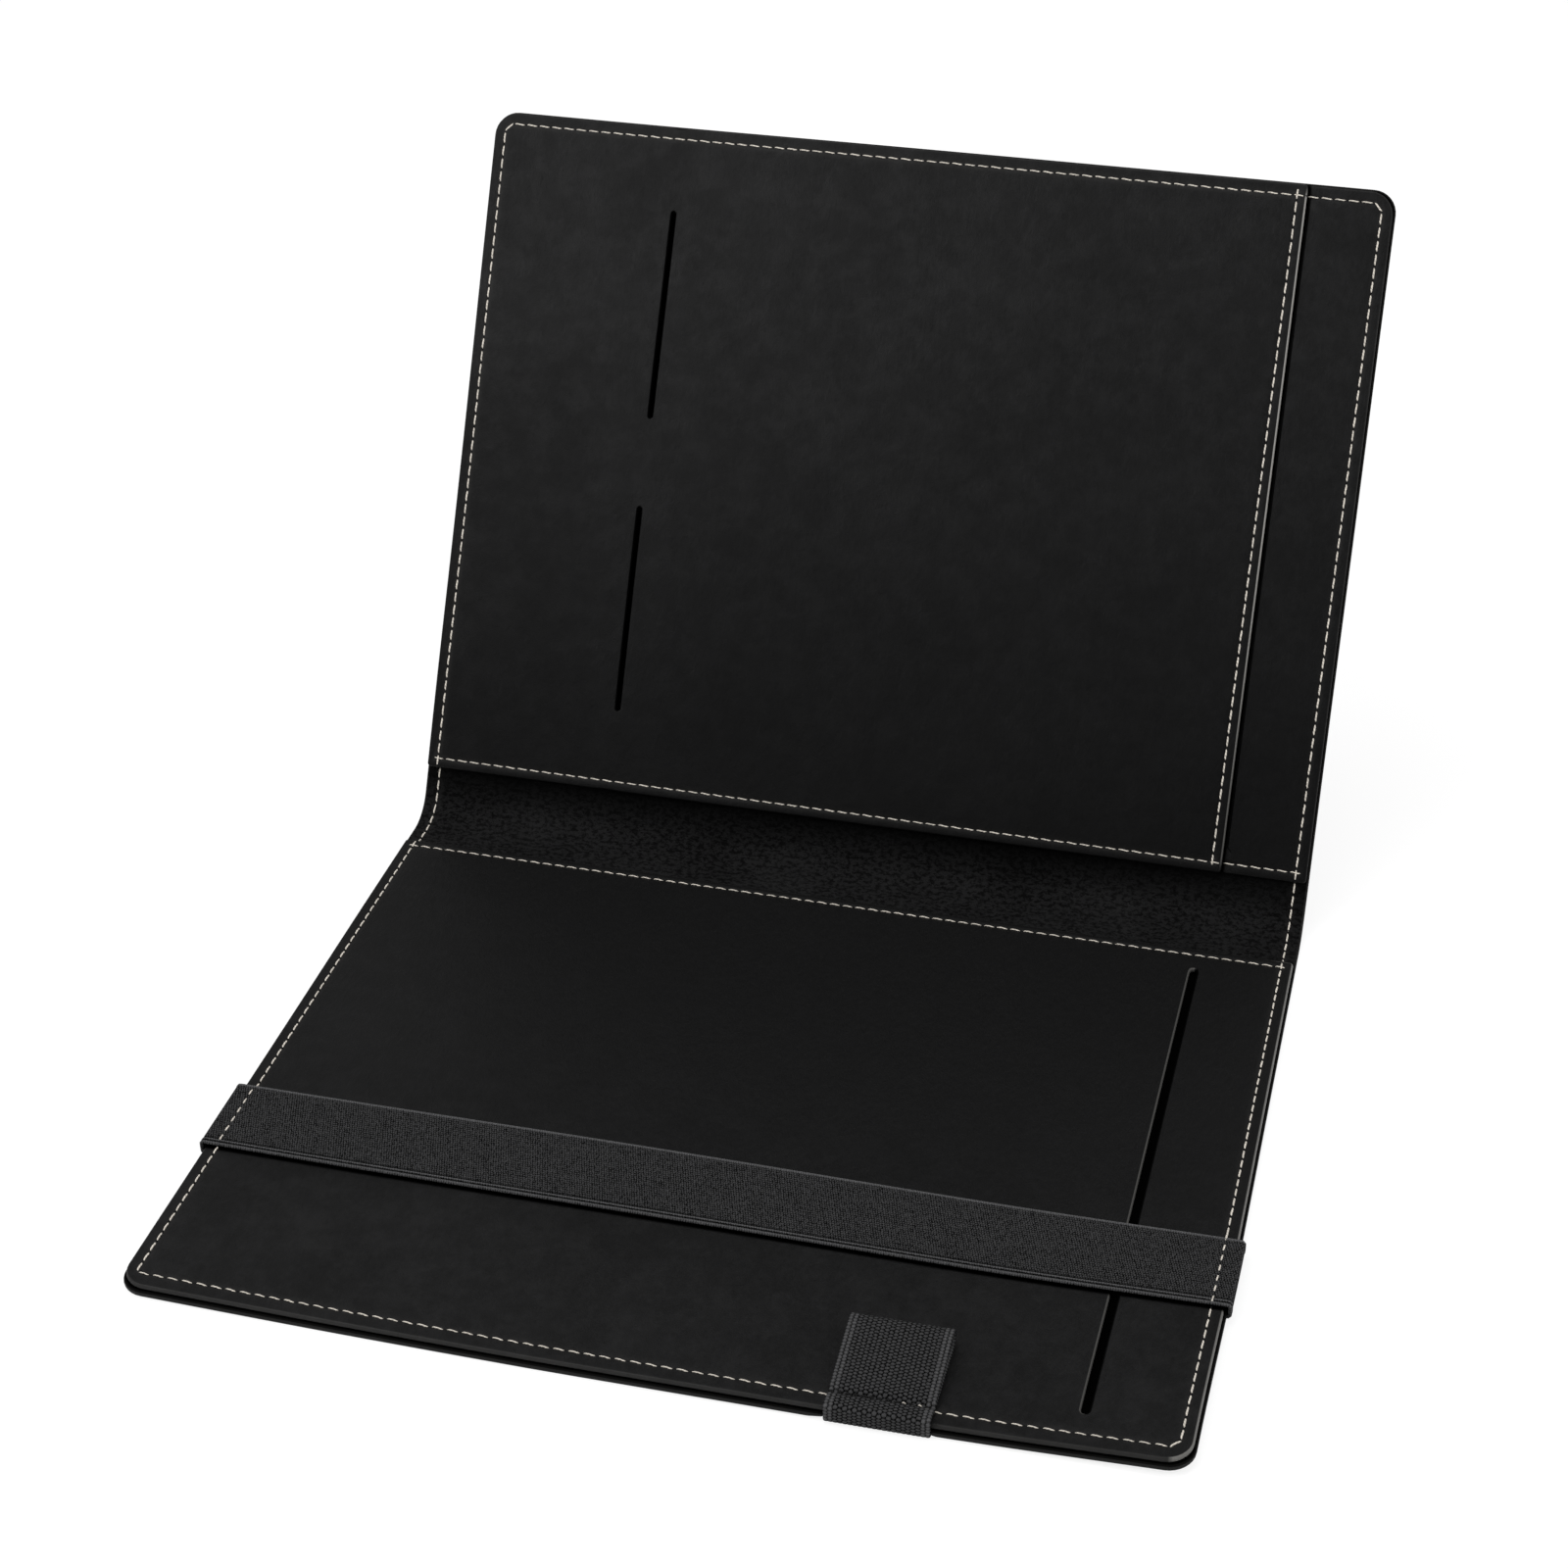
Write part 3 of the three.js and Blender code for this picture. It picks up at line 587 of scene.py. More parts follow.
class Plan:
    """A flat piece of leather from above: points (x, s), quads, and loops of points round its edges.

    The middle is a grid. A band of rings joins the grid to the outline, whose corners are arcs, and rings
    join a rectangle in the grid to each slit. The rings lie close together at the seam."""

    inset = 9 * MM
    step = 4 * MM
    frame_round_slit = 4.5 * MM
    ring_depths = np.array([7.2, 5.6, 4.6, 4.15, 3.7, 3.3, 2.9, 2.45, 2.0, 1.3]) * MM
    slit_shares = np.array([0.45, 0.75, 0.9, 1.0])
    arc_steps = 8

    def __init__(self, box, radii, slits=(), stops_x=(), stops_s=(), slit_width=0, rounding=0.6 * MM):
        left, right, near, far = box
        self.slit_width = slit_width
        self.rounding = rounding
        self.points = np.empty((0, 2))
        self.quads = []
        self.loops = []
        margin = self.frame_round_slit
        stops_x = [*stops_x, *(x + side for x, _, _ in slits for side in (-margin, 0, margin))]
        stops_s = [*stops_s, *(end for _, low, high in slits for end in (low - margin, high + margin))]
        xs = grid_lines(left + self.inset, right - self.inset, stops_x, self.step)
        ss = grid_lines(near + self.inset, far - self.inset, stops_s, self.step)
        index = self.add(np.stack(np.meshgrid(xs, ss), axis=-1))
        quads = grid_quads(index)
        for x, low, high in slits:
            middle_x, middle_s = self.points[quads].mean(axis=1).T
            inside = (abs(middle_x - x) < margin) & (middle_s > low - margin) & (middle_s < high + margin)
            quads = quads[~inside]
        self.quads.append(quads)
        self.edge_band(index, box, radii)
        for x, low, high in slits:
            columns = np.flatnonzero(abs(xs - x) < margin + TINY)
            rows = np.flatnonzero((ss > low - margin - TINY) & (ss < high + margin + TINY))
            self.slit_rings(index[rows[0] : rows[-1] + 1, columns[0] : columns[-1] + 1], x, low, high)

    def add(self, points):
        """Adds an array of points (rows, columns, 2) and returns their numbers in the same layout."""
        numbers = np.arange(points.shape[0] * points.shape[1]) + len(self.points)
        self.points = np.concatenate([self.points, points.reshape(-1, 2)])
        return numbers.reshape(points.shape[:2])

    def edge_band(self, index, box, radii):
        """Rings from the grid's border out to the outline. Each corner of the grid fans out to an arc."""
        left, right, near, far = box
        centres = [
            np.array([left + radii[0], near + radii[0]]),
            np.array([right - radii[1], near + radii[1]]),
            np.array([right - radii[2], far - radii[2]]),
            np.array([left + radii[3], far - radii[3]]),
        ]
        base, outline, outward = [], [], []
        for k, side in enumerate(four_sides(index)):
            after = (k + 1) % 4
            angle = math.pi * (1 + k / 2) + np.linspace(0, math.pi / 2, self.arc_steps + 1)
            normal = np.stack([np.cos(angle), np.sin(angle)], axis=-1)
            base.append(np.full(len(angle), side[0]))
            outline.append(centres[k] + radii[k] * normal)
            outward.append(normal)
            begin = centres[k] + radii[k] * normal[-1]
            finish = centres[after] + radii[after] * normal[-1]
            travel = np.linalg.norm(self.points[side] - self.points[side[0]], axis=1)
            base.append(side)
            outline.append(begin + (finish - begin) * (travel / travel[-1])[:, None])
            outward.append(np.repeat(normal[-1:], len(side), axis=0))
        base, outline, outward = map(np.concatenate, (base, outline, outward))
        inner = self.points[base]
        rim = outline - outward * self.rounding
        share = 1 - (self.ring_depths - self.rounding) / (self.inset - self.rounding)
        share = np.append(share, 1)[:, None, None]
        numbers = self.add(inner + (rim - inner) * share)
        self.quads.append(grid_quads(np.concatenate([base[None], numbers]), flip=True, wrap=True))
        self.loops.append((numbers[-1], outward, True))

    def slit_rings(self, index, x, low, high):
        """Rings from a rectangle in the grid to a slit: each point moves towards the nearest point of the
        slit's middle line until it is half the slit's width away."""
        border = np.concatenate([side[:-1] for side in four_sides(index)])
        outer = self.points[border]
        radius = self.slit_width / 2
        middle = np.clip(outer[:, 1], low + radius, high - radius)
        nearest = np.stack([np.full(len(outer), x), middle], axis=-1)
        direction = unit(outer - nearest)
        rim = nearest + direction * (radius + self.rounding)
        numbers = self.add(outer + (rim - outer) * self.slit_shares[:, None, None])
        self.quads.append(grid_quads(np.concatenate([border[None], numbers]), wrap=True))
        self.loops.append((numbers[-1], -direction, False))


def seam_rows():
    """Where the rows of stitches on the spine side of the back and front panels lie along s."""
    margin = sizes().seam_margin
    return notepad_high[1] - folio.front - margin, lining_low[1] + margin


def groove(x, s):
    """How deep the stitches pull the leather in: a furrow along the outer seam and the two rows."""
    radius = sizes().seam_corner
    across = abs(x) - (folio.half - sizes().seam_margin - radius)
    along = abs(s - folio.end / 2) - (folio.end / 2 - sizes().seam_margin - radius)
    seam = np.hypot(np.maximum(across, 0), np.maximum(along, 0)) + np.minimum(np.maximum(across, along), 0)
    distance = abs(seam - radius)
    for row in seam_rows():
        distance = np.minimum(distance, abs(s - row))
    return sizes().groove_depth * hump(distance, 0.75 * MM)


def no_relief(x, s):
    return 0 * x


def thicken(plan, base, thick, top_relief, burnish_and_painted_light, under_relief=no_relief):
    """Gives a plan its thickness. Each edge is a quarter round, a slightly crowned wall and a quarter round.
    The reliefs are functions of (x, s) that say how far each face is sunk. The burnish and painted light is a
    function that says how much burnish and painted highlight the cut edges get, and below 0 how much painted
    shade."""
    points = plan.points
    x, s = points.T
    total = len(points)
    top = base + thick - top_relief(x, s)
    under = base + under_relief(x, s)
    faces = np.concatenate(plan.quads)
    flat = [np.stack([x, s, top], axis=-1), np.stack([x, s, under], axis=-1)]
    edge = [0.03 * np.sqrt(groove(x, s) / sizes().groove_depth), 0 * x]
    quads = [faces, (faces + total)[:, ::-1]]
    angles = np.linspace(0, math.pi / 2, 5)[1:]
    count = 2 * total
    for loop, outward, flip in plan.loops:
        rings = []
        for face, sign in ((top, -1), (under, 1)):
            ring = np.empty((len(angles), len(loop), 3))
            ring[..., :2] = points[loop] + plan.rounding * np.sin(angles)[:, None, None] * outward
            ring[..., 2] = face[loop] + sign * plan.rounding * (1 - np.cos(angles))[:, None]
            rings.append(ring)
        crown = (rings[0][-1:] + rings[1][-1:]) / 2
        crown[..., :2] += outward * 0.1 * plan.rounding
        wall = np.concatenate([rings[0], crown, rings[1][::-1]])
        numbers = np.arange(wall.shape[0] * wall.shape[1]).reshape(wall.shape[:2]) + count
        count += numbers.size
        quads.append(grid_quads(np.concatenate([loop[None], numbers, loop[None] + total]), flip, wrap=True))
        flat.append(wall.reshape(-1, 3))
        edge.append(burnish_and_painted_light(wall[..., 0], wall[..., 1]).reshape(-1))
    return np.concatenate(flat), np.concatenate(quads), np.concatenate(edge)


def between(value, low, high, soft):
    """1 between low and high, 0 outside them, with soft sides."""
    return step_up(value, low - soft, low) * step_up(-value, -high - soft, -high)


# The soft slope beside a hollow for the elastic
SOFT = 0.7 * MM


def tail_hollows():
    """The room for the elastic's tails under the back cover: how far it reaches in from an edge, and the
    ends of the band's room along s and of the loop's room along x."""
    gap = sizes().layer_gap
    band = (band_low[1] - folio.front - gap, band_high[1] - folio.front + gap)
    return sizes().elastic_tail + gap, band, (loop_low[0] - gap, loop_high[0] + gap)


def outside_relief(x, s):
    """The outside of the outer leather: deeper furrows, and hollows that hold the elastic's tails."""
    reach, band_room, loop_room = tail_hollows()
    band = between(s, *band_room, SOFT) * step_up(abs(x), folio.half - reach - SOFT, folio.half - reach)
    loop = between(x, *loop_room, SOFT) * step_up(-s, -reach - SOFT, -reach)
    spare = sizes().layer_gap / 2
    hollow = band * (sizes().band_thickness + spare) + loop * (sizes().loop_thickness + spare)
    return groove(x, s) * 1.6 * (1 - np.maximum(band, loop)) + hollow


def around(row):
    """Lines close together on both sides of a row of stitches."""
    return row + np.array([-1.6, -0.9, -0.45, 0, 0.45, 0.9, 1.6]) * MM


def make_outer_leather():
    """The outer leather, made as one sheet and cut in the middle of the spine, where the halves meet."""
    reach, (near, far), (left, right) = tail_hollows()
    rows = np.concatenate([around(row) for row in seam_rows()])
    arc = np.linspace(folio.s_back, folio.s_front, 35)
    stops_s = [*rows, *arc, near - SOFT, near, far, far + SOFT, reach, reach + SOFT]
    side = folio.half - reach
    stops_x = [-side, -side + SOFT, side - SOFT, side, left - SOFT, left, right, right + SOFT]
    more = sizes().outer_overhang
    box = (-folio.half - more, folio.half + more, -sizes().front_overhang, folio.end + more)
    plan = Plan(box, [sizes().corner_radius] * 4, stops_x=stops_x, stops_s=stops_s, rounding=0.7 * MM)

    def burnish_and_painted_light(x, s):
        # The cut edges are burnished; those of the front half are painted paler, as painted light on walls
        # the lamps leave dark.
        return np.where(s < folio.s_middle, 0.05, 0.12)

    flat, quads, edge = thicken(plan, 0, folio.thick, groove, burnish_and_painted_light, outside_relief)
    is_back = flat[quads][..., 1].mean(axis=1) < folio.s_middle
    finish = outer_finish()
    back = make_piece("outer_leather_back", flat, quads[is_back], edge, finish)
    front = make_piece("outer_leather_front", flat, quads[~is_back], edge, finish)
    dress(back, "back fold", "outer_leather", "back_cover_leather", "spine_leather")
    dress(front, "front fold", "outer_leather", "front_cover_leather")


def make_notepad():
    """The notepad panel with its long slit. It has a painted shadow in front of the band, painted shade
    towards the spine, and burnished cut edges with a painted highlight on its right edge.
    """
    outer, inner = sizes().corner_radius, sizes().panel_corner
    band = band_low[1] - folio.front
    # Painted shadow in front of and under the band.
    shadow = (1, band - 1.8 * MM, band - 0.4 * MM, band + 3 * MM, band + 5 * MM)
    # Painted shade towards the spine, which also takes the shine away.
    leather = smooth_leather("panel leather", colours().burnish, 3.1, (0.02, 0.15, 0.03), [shadow])
    end = notepad_high[1] - folio.front
    more = sizes().panel_overhang
    box = (-folio.half - more, folio.half + more, -sizes().panel_front, end)
    slit = (sizes().slit_x, sizes().slit_margin, end - sizes().slit_margin)
    stops_s = around(seam_rows()[0])
    plan = Plan(box, (outer, outer, inner, inner), [slit], stops_s=stops_s, slit_width=sizes().slit_width)
    zone = 5 * MM

    def burnish_and_painted_light(x, s):
        # Burnish on the cut edges; a painted highlight on the right edge and the slit's left wall, painted
        # shade on its right wall.
        at_slit = (abs(x - sizes().slit_x) < zone) & (s > zone) & (s < end - zone)
        slit_wall_painted_light = np.where(x < sizes().slit_x, 0.45, -0.8)
        return np.where(x > folio.half - zone, 1.0, np.where(at_slit, slit_wall_painted_light, 0.1))

    parts = thicken(plan, notepad_low[2], notepad_high[2] - notepad_low[2], groove, burnish_and_painted_light)
    dress(make_piece("notepad_leather", *parts, leather), "back_cover", "panel_leather", "notepad_panel")


def front_painted_shade():
    """Where along the unfolded leather the front panels are brightest and where their painted shade is
    fullest,
    and how much shine it takes: the panels are painted darker towards the spine.
    """
    return folio.end - 20 * MM, lining_low[1] - 10 * MM, 0.48


def make_lining():
    """The lining, which has painted shade under the pocket and towards the spine, and a shallow channel along
    the pocket's free edge.
    """
    outer, inner = sizes().corner_radius, sizes().panel_corner
    free_edge = pocket_high[0]
    # Painted shade under the pocket, to just past its free edge.
    shadow = (0, -folio.half, 1 * MM - folio.half, free_edge + 0.4 * MM, free_edge + 1.7 * MM)
    leather = smooth_leather("lining leather", colours().burnish, 5.2, front_painted_shade(), [shadow])
    more = sizes().panel_overhang
    box = (-folio.half - more, folio.half + more, lining_low[1], folio.end + more)
    channel = (free_edge - 1 * MM, free_edge + 1.1 * MM)
    soft = 0.4 * MM
    stops_x = [channel[0], channel[1] - soft, channel[1], channel[1] + soft]
    stops_s = around(seam_rows()[1])
    plan = Plan(box, (inner, inner, outer, outer), (), stops_x, stops_s, rounding=0.5 * MM)

    def top(x, s):
        return groove(x, s) + 0.6 * MM * between(x, *channel, soft)

    def burnish_and_painted_light(x, s):
        return 0.05 + 0 * x

    parts = thicken(plan, lining_low[2], lining_high[2] - lining_low[2], top, burnish_and_painted_light)
    dress(make_piece("front_lining_leather", *parts, leather), "front_cover", "panel_leather", "front_lining")


def make_pocket():
    """The document pocket with its two card slits, painted shade towards the spine, and a row of stitches
    along its free edge, whose burnish carries a painted highlight.
    """
    outer, inner = sizes().corner_radius, sizes().panel_corner
    # The pocket's burnish is painted brighter than the other panels': part burnish, part painted highlight.
    leather = smooth_leather("pocket leather", scaled(colours().burnish, 2.2), 8.4, front_painted_shade(), [])
    free_edge = pocket_high[0]
    near = pocket_low[1]
    seam = free_edge - sizes().seam_margin
    middle = (lining_low[1] + folio.end) / 2
    half_slit = sizes().card_slit_length / 2
    slits = [
        (sizes().card_slit_x, middle + offset - half_slit, middle + offset + half_slit)
        for offset in (-sizes().card_slit_spacing / 2, sizes().card_slit_spacing / 2)
    ]
    more = sizes().panel_overhang
    box = (-folio.half - more, free_edge, near, folio.end + more)
    stops_s = around(seam_rows()[1])
    width = sizes().card_slit_width
    plan = Plan(box, (inner, inner, inner, outer), slits, stops_s=stops_s, slit_width=width)

    def top(x, s):
        return np.maximum(groove(x, s), sizes().groove_depth * hump(x - seam, 0.75 * MM))

    def burnish_and_painted_light(x, s):
        # Painted highlight on the free edge, growing along s, over a faint burnish; painted shade on the card
        # slits' left walls.
        at_free_edge = (x > free_edge - 2 * MM) & (s < folio.end - 2 * MM) & (s > near + 4 * MM)
        bright = 0.015 + at_free_edge * (0.25 + 0.7 * step_up(s, near, near + 120 * MM))
        slit_wall_painted_light = np.where(x < sizes().card_slit_x, -0.9, 0)
        return np.where(abs(x - sizes().card_slit_x) < 3 * MM, slit_wall_painted_light, bright)

    parts = thicken(plan, pocket_low[2], pocket_high[2] - pocket_low[2], top, burnish_and_painted_light)
    pocket = make_piece("document_pocket", *parts, leather)
    dress(pocket, "front_cover", "panel_leather", "document_pocket_panel")


# Elastic


def rounded_path(points, radii, step):
    """A path of straight lines whose corners are arcs, with evenly spaced points and their normals."""
    points = [np.array(point, float) for point in points]
    line = [points[0][None]]
    for before, corner, after, radius in zip(points, points[1:], points[2:], radii):
        arrive = unit(corner - before)
        leave = unit(after - corner)
        turn = math.acos(np.clip(arrive @ leave, -1, 1))
        reach = radius * math.tan(turn / 2)
        centre = corner + unit(leave - arrive) * math.hypot(radius, reach)
        share = np.linspace(0, 1, 13)[:, None]
        first = corner - arrive * reach - centre
        last = corner + leave * reach - centre
        arc = first * np.sin((1 - share) * turn) + last * np.sin(share * turn)
        line.append(centre + arc / math.sin(turn))
    line = np.concatenate([*line, points[-1][None]])
    travel = travel_along(line)
    even = np.linspace(0, travel[-1], round(travel[-1] / step))
    path = np.stack([np.interp(even, travel, line[:, axis]) for axis in (0, 1)], axis=-1)
    return path, leftward(unit(np.gradient(path, axis=0))), even


def rounded_rims(across, half, width):
    """Half the thickness of a strip, with a quarter round at both rims."""
    rim = across[-1] - abs(across)
    return half * np.sqrt(np.clip(1 - (1 - np.minimum(rim / width, 1)) ** 2, 0, 1))


def strip(path, normal, travel, across, height, edge):
    """A woven strip: a profile with the given heights over and under its middle, moved along a path. Its
    ends close to a line. Returns points as (path's first axis, across, path's second axis), and quads."""
    taper = np.sqrt(np.clip(np.minimum(travel, travel[-1] - travel) / (0.6 * MM), 0, 1))
    width = np.concatenate([across, across[::-1]])
    rise = np.concatenate([height, -height[::-1]]) * taper[:, None]
    first = path[:, :1] + normal[:, :1] * rise
    second = path[:, 1:] + normal[:, 1:] * rise
    width = np.broadcast_to(width, first.shape)
    place = np.stack([np.broadcast_to(travel[:, None], first.shape), width, rise], axis=-1)
    tone = np.broadcast_to(np.concatenate([edge, edge[::-1]]), first.shape)
    quads = grid_quads(np.arange(first.size).reshape(first.shape), wrap=True)
    return first, width, second, place.reshape(-1, 3), tone.reshape(-1), quads


def make_band():
    """The closure band, which wraps round both sides of the back cover. Two cords and two gaps follow its
    front rim, and a lip its rear rim; the cords and the lip get a painted highlight and the gaps painted
    shade."""
    half = sizes().band_thickness / 2
    top = band_high[2] - half
    wrap = band_high[0] - half + sizes().outer_overhang
    tail = folio.half - sizes().elastic_tail
    points = [(-tail, half), (-wrap, half), (-wrap, top), (wrap, top), (wrap, half), (tail, half)]
    path, normal, travel = rounded_path(points, [sizes().elastic_bend] * 4, 0.8 * MM)
    middle = (band_low[1] + band_high[1]) / 2 - folio.front
    reach = (band_high[1] - band_low[1]) / 2
    across = np.linspace(-reach, reach, 181)
    cords = sum(hump(across + reach - part, 0.36 * MM) for part in (0.6 * MM, 2.0 * MM))
    gaps = sum(hump(across + reach - part, 0.3 * MM) for part in (1.3 * MM, 2.75 * MM))
    lip = hump(across - reach + 0.5 * MM, 0.6 * MM)
    height = rounded_rims(across, half, 0.7 * MM)
    height = height * (0.72 + 0.28 * np.clip(cords + lip, 0, 1) - 0.2 * gaps)
    # Painted highlight on the cords and the lip, painted shade in the gaps.
    edge = np.clip(0.8 * cords + lip - gaps, -1, 1)
    x, width, n, place, tone, quads = strip(path, normal, travel, across, height, edge)
    flat = np.stack([x, width + middle, n], axis=-1).reshape(-1, 3)
    finish = woven_elastic("band elastic", 0.9 * MM, 0.8 * MM, 1.2, 1.5)
    band = make_piece("closure_elastic", flat, quads[:, ::-1], tone, finish, place)
    dress(band, "back_cover", "elastic", "closure_band")


def make_loop():
    """The pen loop, folded over the front edge, sewn down there and ribbed by the cords woven into it."""
    bend = sizes().elastic_bend
    half = sizes().loop_thickness / 2
    lower = notepad_high[2] + sizes().layer_gap + half
    upper = lower + 2 * half + sizes().layer_gap
    crest = loop_high[2] - half
    wrap = loop_low[1] - folio.front + half - sizes().front_overhang
    tip = loop_high[1] - folio.front - half + sizes().loop_more
    neck = sizes().loop_neck
    turn = (crest - lower) / 2 * 0.98
    points = [
        (sizes().elastic_tail, half),
        (wrap, half),
        (wrap, upper),
        (neck, upper),
        (neck + sizes().loop_shoulder, crest),
        (tip, crest),
        (tip, lower),
        (sizes().seam_margin / 2, lower),
    ]
    radii = [bend, bend, bend, 3 * bend, turn, turn]
    path, normal, travel = rounded_path(points, radii, 0.4 * MM)
    seam = hump(path[:, 0] - sizes().seam_margin, 1.1 * MM) * (path[:, 1] > upper - half)
    path[:, 1] -= sizes().loop_crease * seam
    middle = (loop_low[0] + loop_high[0]) / 2
    reach = (loop_high[0] - loop_low[0]) / 2
    pitch = 2 * reach / sizes().loop_ribs
    across = np.linspace(-reach, reach, sizes().loop_ribs * 7 + 1)
    ribs = abs(np.sin(across * math.pi / pitch))
    height = rounded_rims(across, half, 0.6 * MM) * (0.8 + 0.2 * ribs**0.8)
    # Painted highlight on the rib crests near both sides of the loop.
    edge = 0.4 * (reach - abs(across) < 1.9 * pitch) * ribs
    x, width, n, place, tone, quads = strip(path, normal, travel, across, height, edge)
    flat = np.stack([width + middle, x, n], axis=-1).reshape(-1, 3)
    # Painted shade in the crease where the seam presses into the loop.
    tone = (tone.reshape(x.shape) - 0.3 * seam[:, None] ** 5).reshape(-1)
    finish = woven_elastic("loop elastic", pitch, 1.15 * MM, 1.57, 0.6)
    loop = make_piece("pen_loop_elastic", flat, quads, tone, finish, place)
    dress(loop, "back_cover", "elastic", "pen_loop")


# Stitches


def stack_height(x, s):
    """The height of the uppermost layer where a stitch lies."""
    along = s + folio.front
    height = np.full(len(x), folio.thick)
    height = np.where(along < notepad_high[1], notepad_high[2], height)
    in_band = (along > band_low[1]) & (along < band_high[1]) & (along < notepad_high[1])
    height = np.where(in_band, band_high[2] - 0.22 * MM, height)
    loop_top = notepad_high[2] + 2 * (sizes().loop_thickness + sizes().layer_gap)
    height = np.where(on_elastic(x, s), loop_top - sizes().loop_crease + 0.3 * MM, height)
    height = np.where(s > lining_low[1], lining_high[2], height)
    return np.where((s > pocket_low[1]) & (x < pocket_high[0]), pocket_high[2], height)


def on_elastic(x, s):
    """Where a stitch sinks into the pen loop."""
    return (x > loop_low[0]) & (x < loop_high[0]) & (s < sizes().loop_neck)


def row_of_stitches(path, seed, corners, holes):
    """Places stitches, or the needle holes between them, along a line of points (x, s). At each corner, given
    as a point's number and 0 or 0.5, either two stitches meet or one lies across. Returns their middles,
    directions and three random numbers each."""
    travel = travel_along(path)
    marks, counts = [0], [0]
    for point, phase in [*corners, (len(path) - 1, 0)]:
        shift = phase - counts[-1] % 1
        marks.append(travel[point])
        counts.append(counts[-1] + round((marks[-1] - marks[-2]) / sizes().stitch_pitch - shift) + shift)
    count = round(counts[-1])
    middle = np.interp(np.arange(count) + (1.0 if holes else 0.5), counts, marks)
    half = sizes().stitch_length / 2
    start, end = (
        np.stack([np.interp(middle + side, travel, path[:, axis]) for axis in (0, 1)], axis=-1)
        for side in (-half, half)
    )
    own = np.random.default_rng(seed).random((count, 3))
    return (start + end) / 2, unit(end - start), own


def stitch_beads(row, inside, holes):
    """Stitches as short, plump beads. Each lies a little slanted, bends like a flat S and dips at its ends.
    Needle holes are small, flat beads painted dark as shade. Stitches are short where they sink into the pen
    loop, and in the left part of it thick and painted dark as shade."""
    middle, direction, own = row
    in_row = abs(direction[:, 0]) > 0.8
    at_front = middle[:, 1] < 2 * sizes().seam_margin
    slant = np.radians(np.where(in_row, np.where(at_front, -4, -1.5), 1.5)) + (own[:, 0] - 0.5) * 0.06
    heading = direction * np.cos(slant)[:, None] + leftward(direction) * np.sin(slant)[:, None]
    share = np.cos(np.linspace(math.pi, 0, 10))
    angle = np.linspace(0, 2 * math.pi, 9)[:-1]
    half = sizes().stitch_length / 2 * (0.96 + 0.08 * own[:, 1])
    radius = sizes().thread_width / 2 * np.where(in_row, 0.85, 1.12) * (0.95 + 0.12 * own[:, 2])
    if holes:
        half = half * 0.2
        radius = radius * 1.1
    sunk = on_elastic(*middle.T) & inside
    hidden = sunk & (middle[:, 0] < (loop_low[0] + loop_high[0]) / 2 + 4 * MM)
    half = np.where(sunk, 0.65 * MM, half)
    radius = np.where(hidden, 0.55 * MM, radius)
    body = radius[:, None, None] * (np.clip(1 - share**4, 0, 1) ** 0.5)[:, None]
    along = half[:, None, None] * share[:, None] + 0 * angle
    wide = body * np.cos(angle) - 0.06 * MM * np.sin(share * math.pi)[:, None]
    rise = body * np.sin(angle) * 0.85
    dip = (0.0 if holes else 0.35) * MM * (share**2)[:, None]
    if inside:
        height = stack_height(*middle.T) - sizes().groove_depth + (0.02 if holes else 0.24) * MM
        n = height[:, None, None] + rise - dip
    else:
        n = 0.27 * MM + rise * 0.6 + dip * 0.5
    spot = middle[:, None, None] + heading[:, None, None] * along[..., None]
    spot = spot + leftward(heading)[:, None, None] * wide[..., None]
    flat = np.concatenate([spot, n[..., None]], axis=-1)
    bead = grid_quads(np.arange(share.size * angle.size).reshape(share.size, -1), wrap=True)
    quads = bead + np.arange(len(middle))[:, None, None] * (share.size * angle.size)
    place = np.broadcast_arrays(share[:, None] / 2, angle / (2 * math.pi), own[:, :1, None])
    # Painted shade for the needle holes and the sunk stitches.
    dark = np.broadcast_to((hidden | holes)[:, None, None], along.shape) * 1.0
    place = np.stack(place, axis=-1).reshape(-1, 3)
    return flat.reshape(-1, 3), quads.reshape(-1, 4), dark.reshape(-1), place


def seam_path(is_back):
    """The outer seam on one half, from the middle of the spine round two corners and back to the spine. The
    left front corner is nearly square."""
    margin = sizes().seam_margin
    side = folio.half - margin
    angle = np.linspace(0, math.pi / 2, 7)
    halves = []
    for radius in (sizes().seam_corner, sizes().seam_corner * (0.2 if is_back else 1)):
        x = side - radius + radius * np.cos(angle)
        s = margin + radius - radius * np.sin(angle)
        halves.append(np.concatenate([[[side, folio.s_middle]], np.stack([x, s], axis=-1)]))
    path = np.concatenate([halves[0], halves[1][::-1] * (-1, 1)])
    if not is_back:
        path[:, 1] = folio.end - path[:, 1]
        path = path[::-1]
    return path


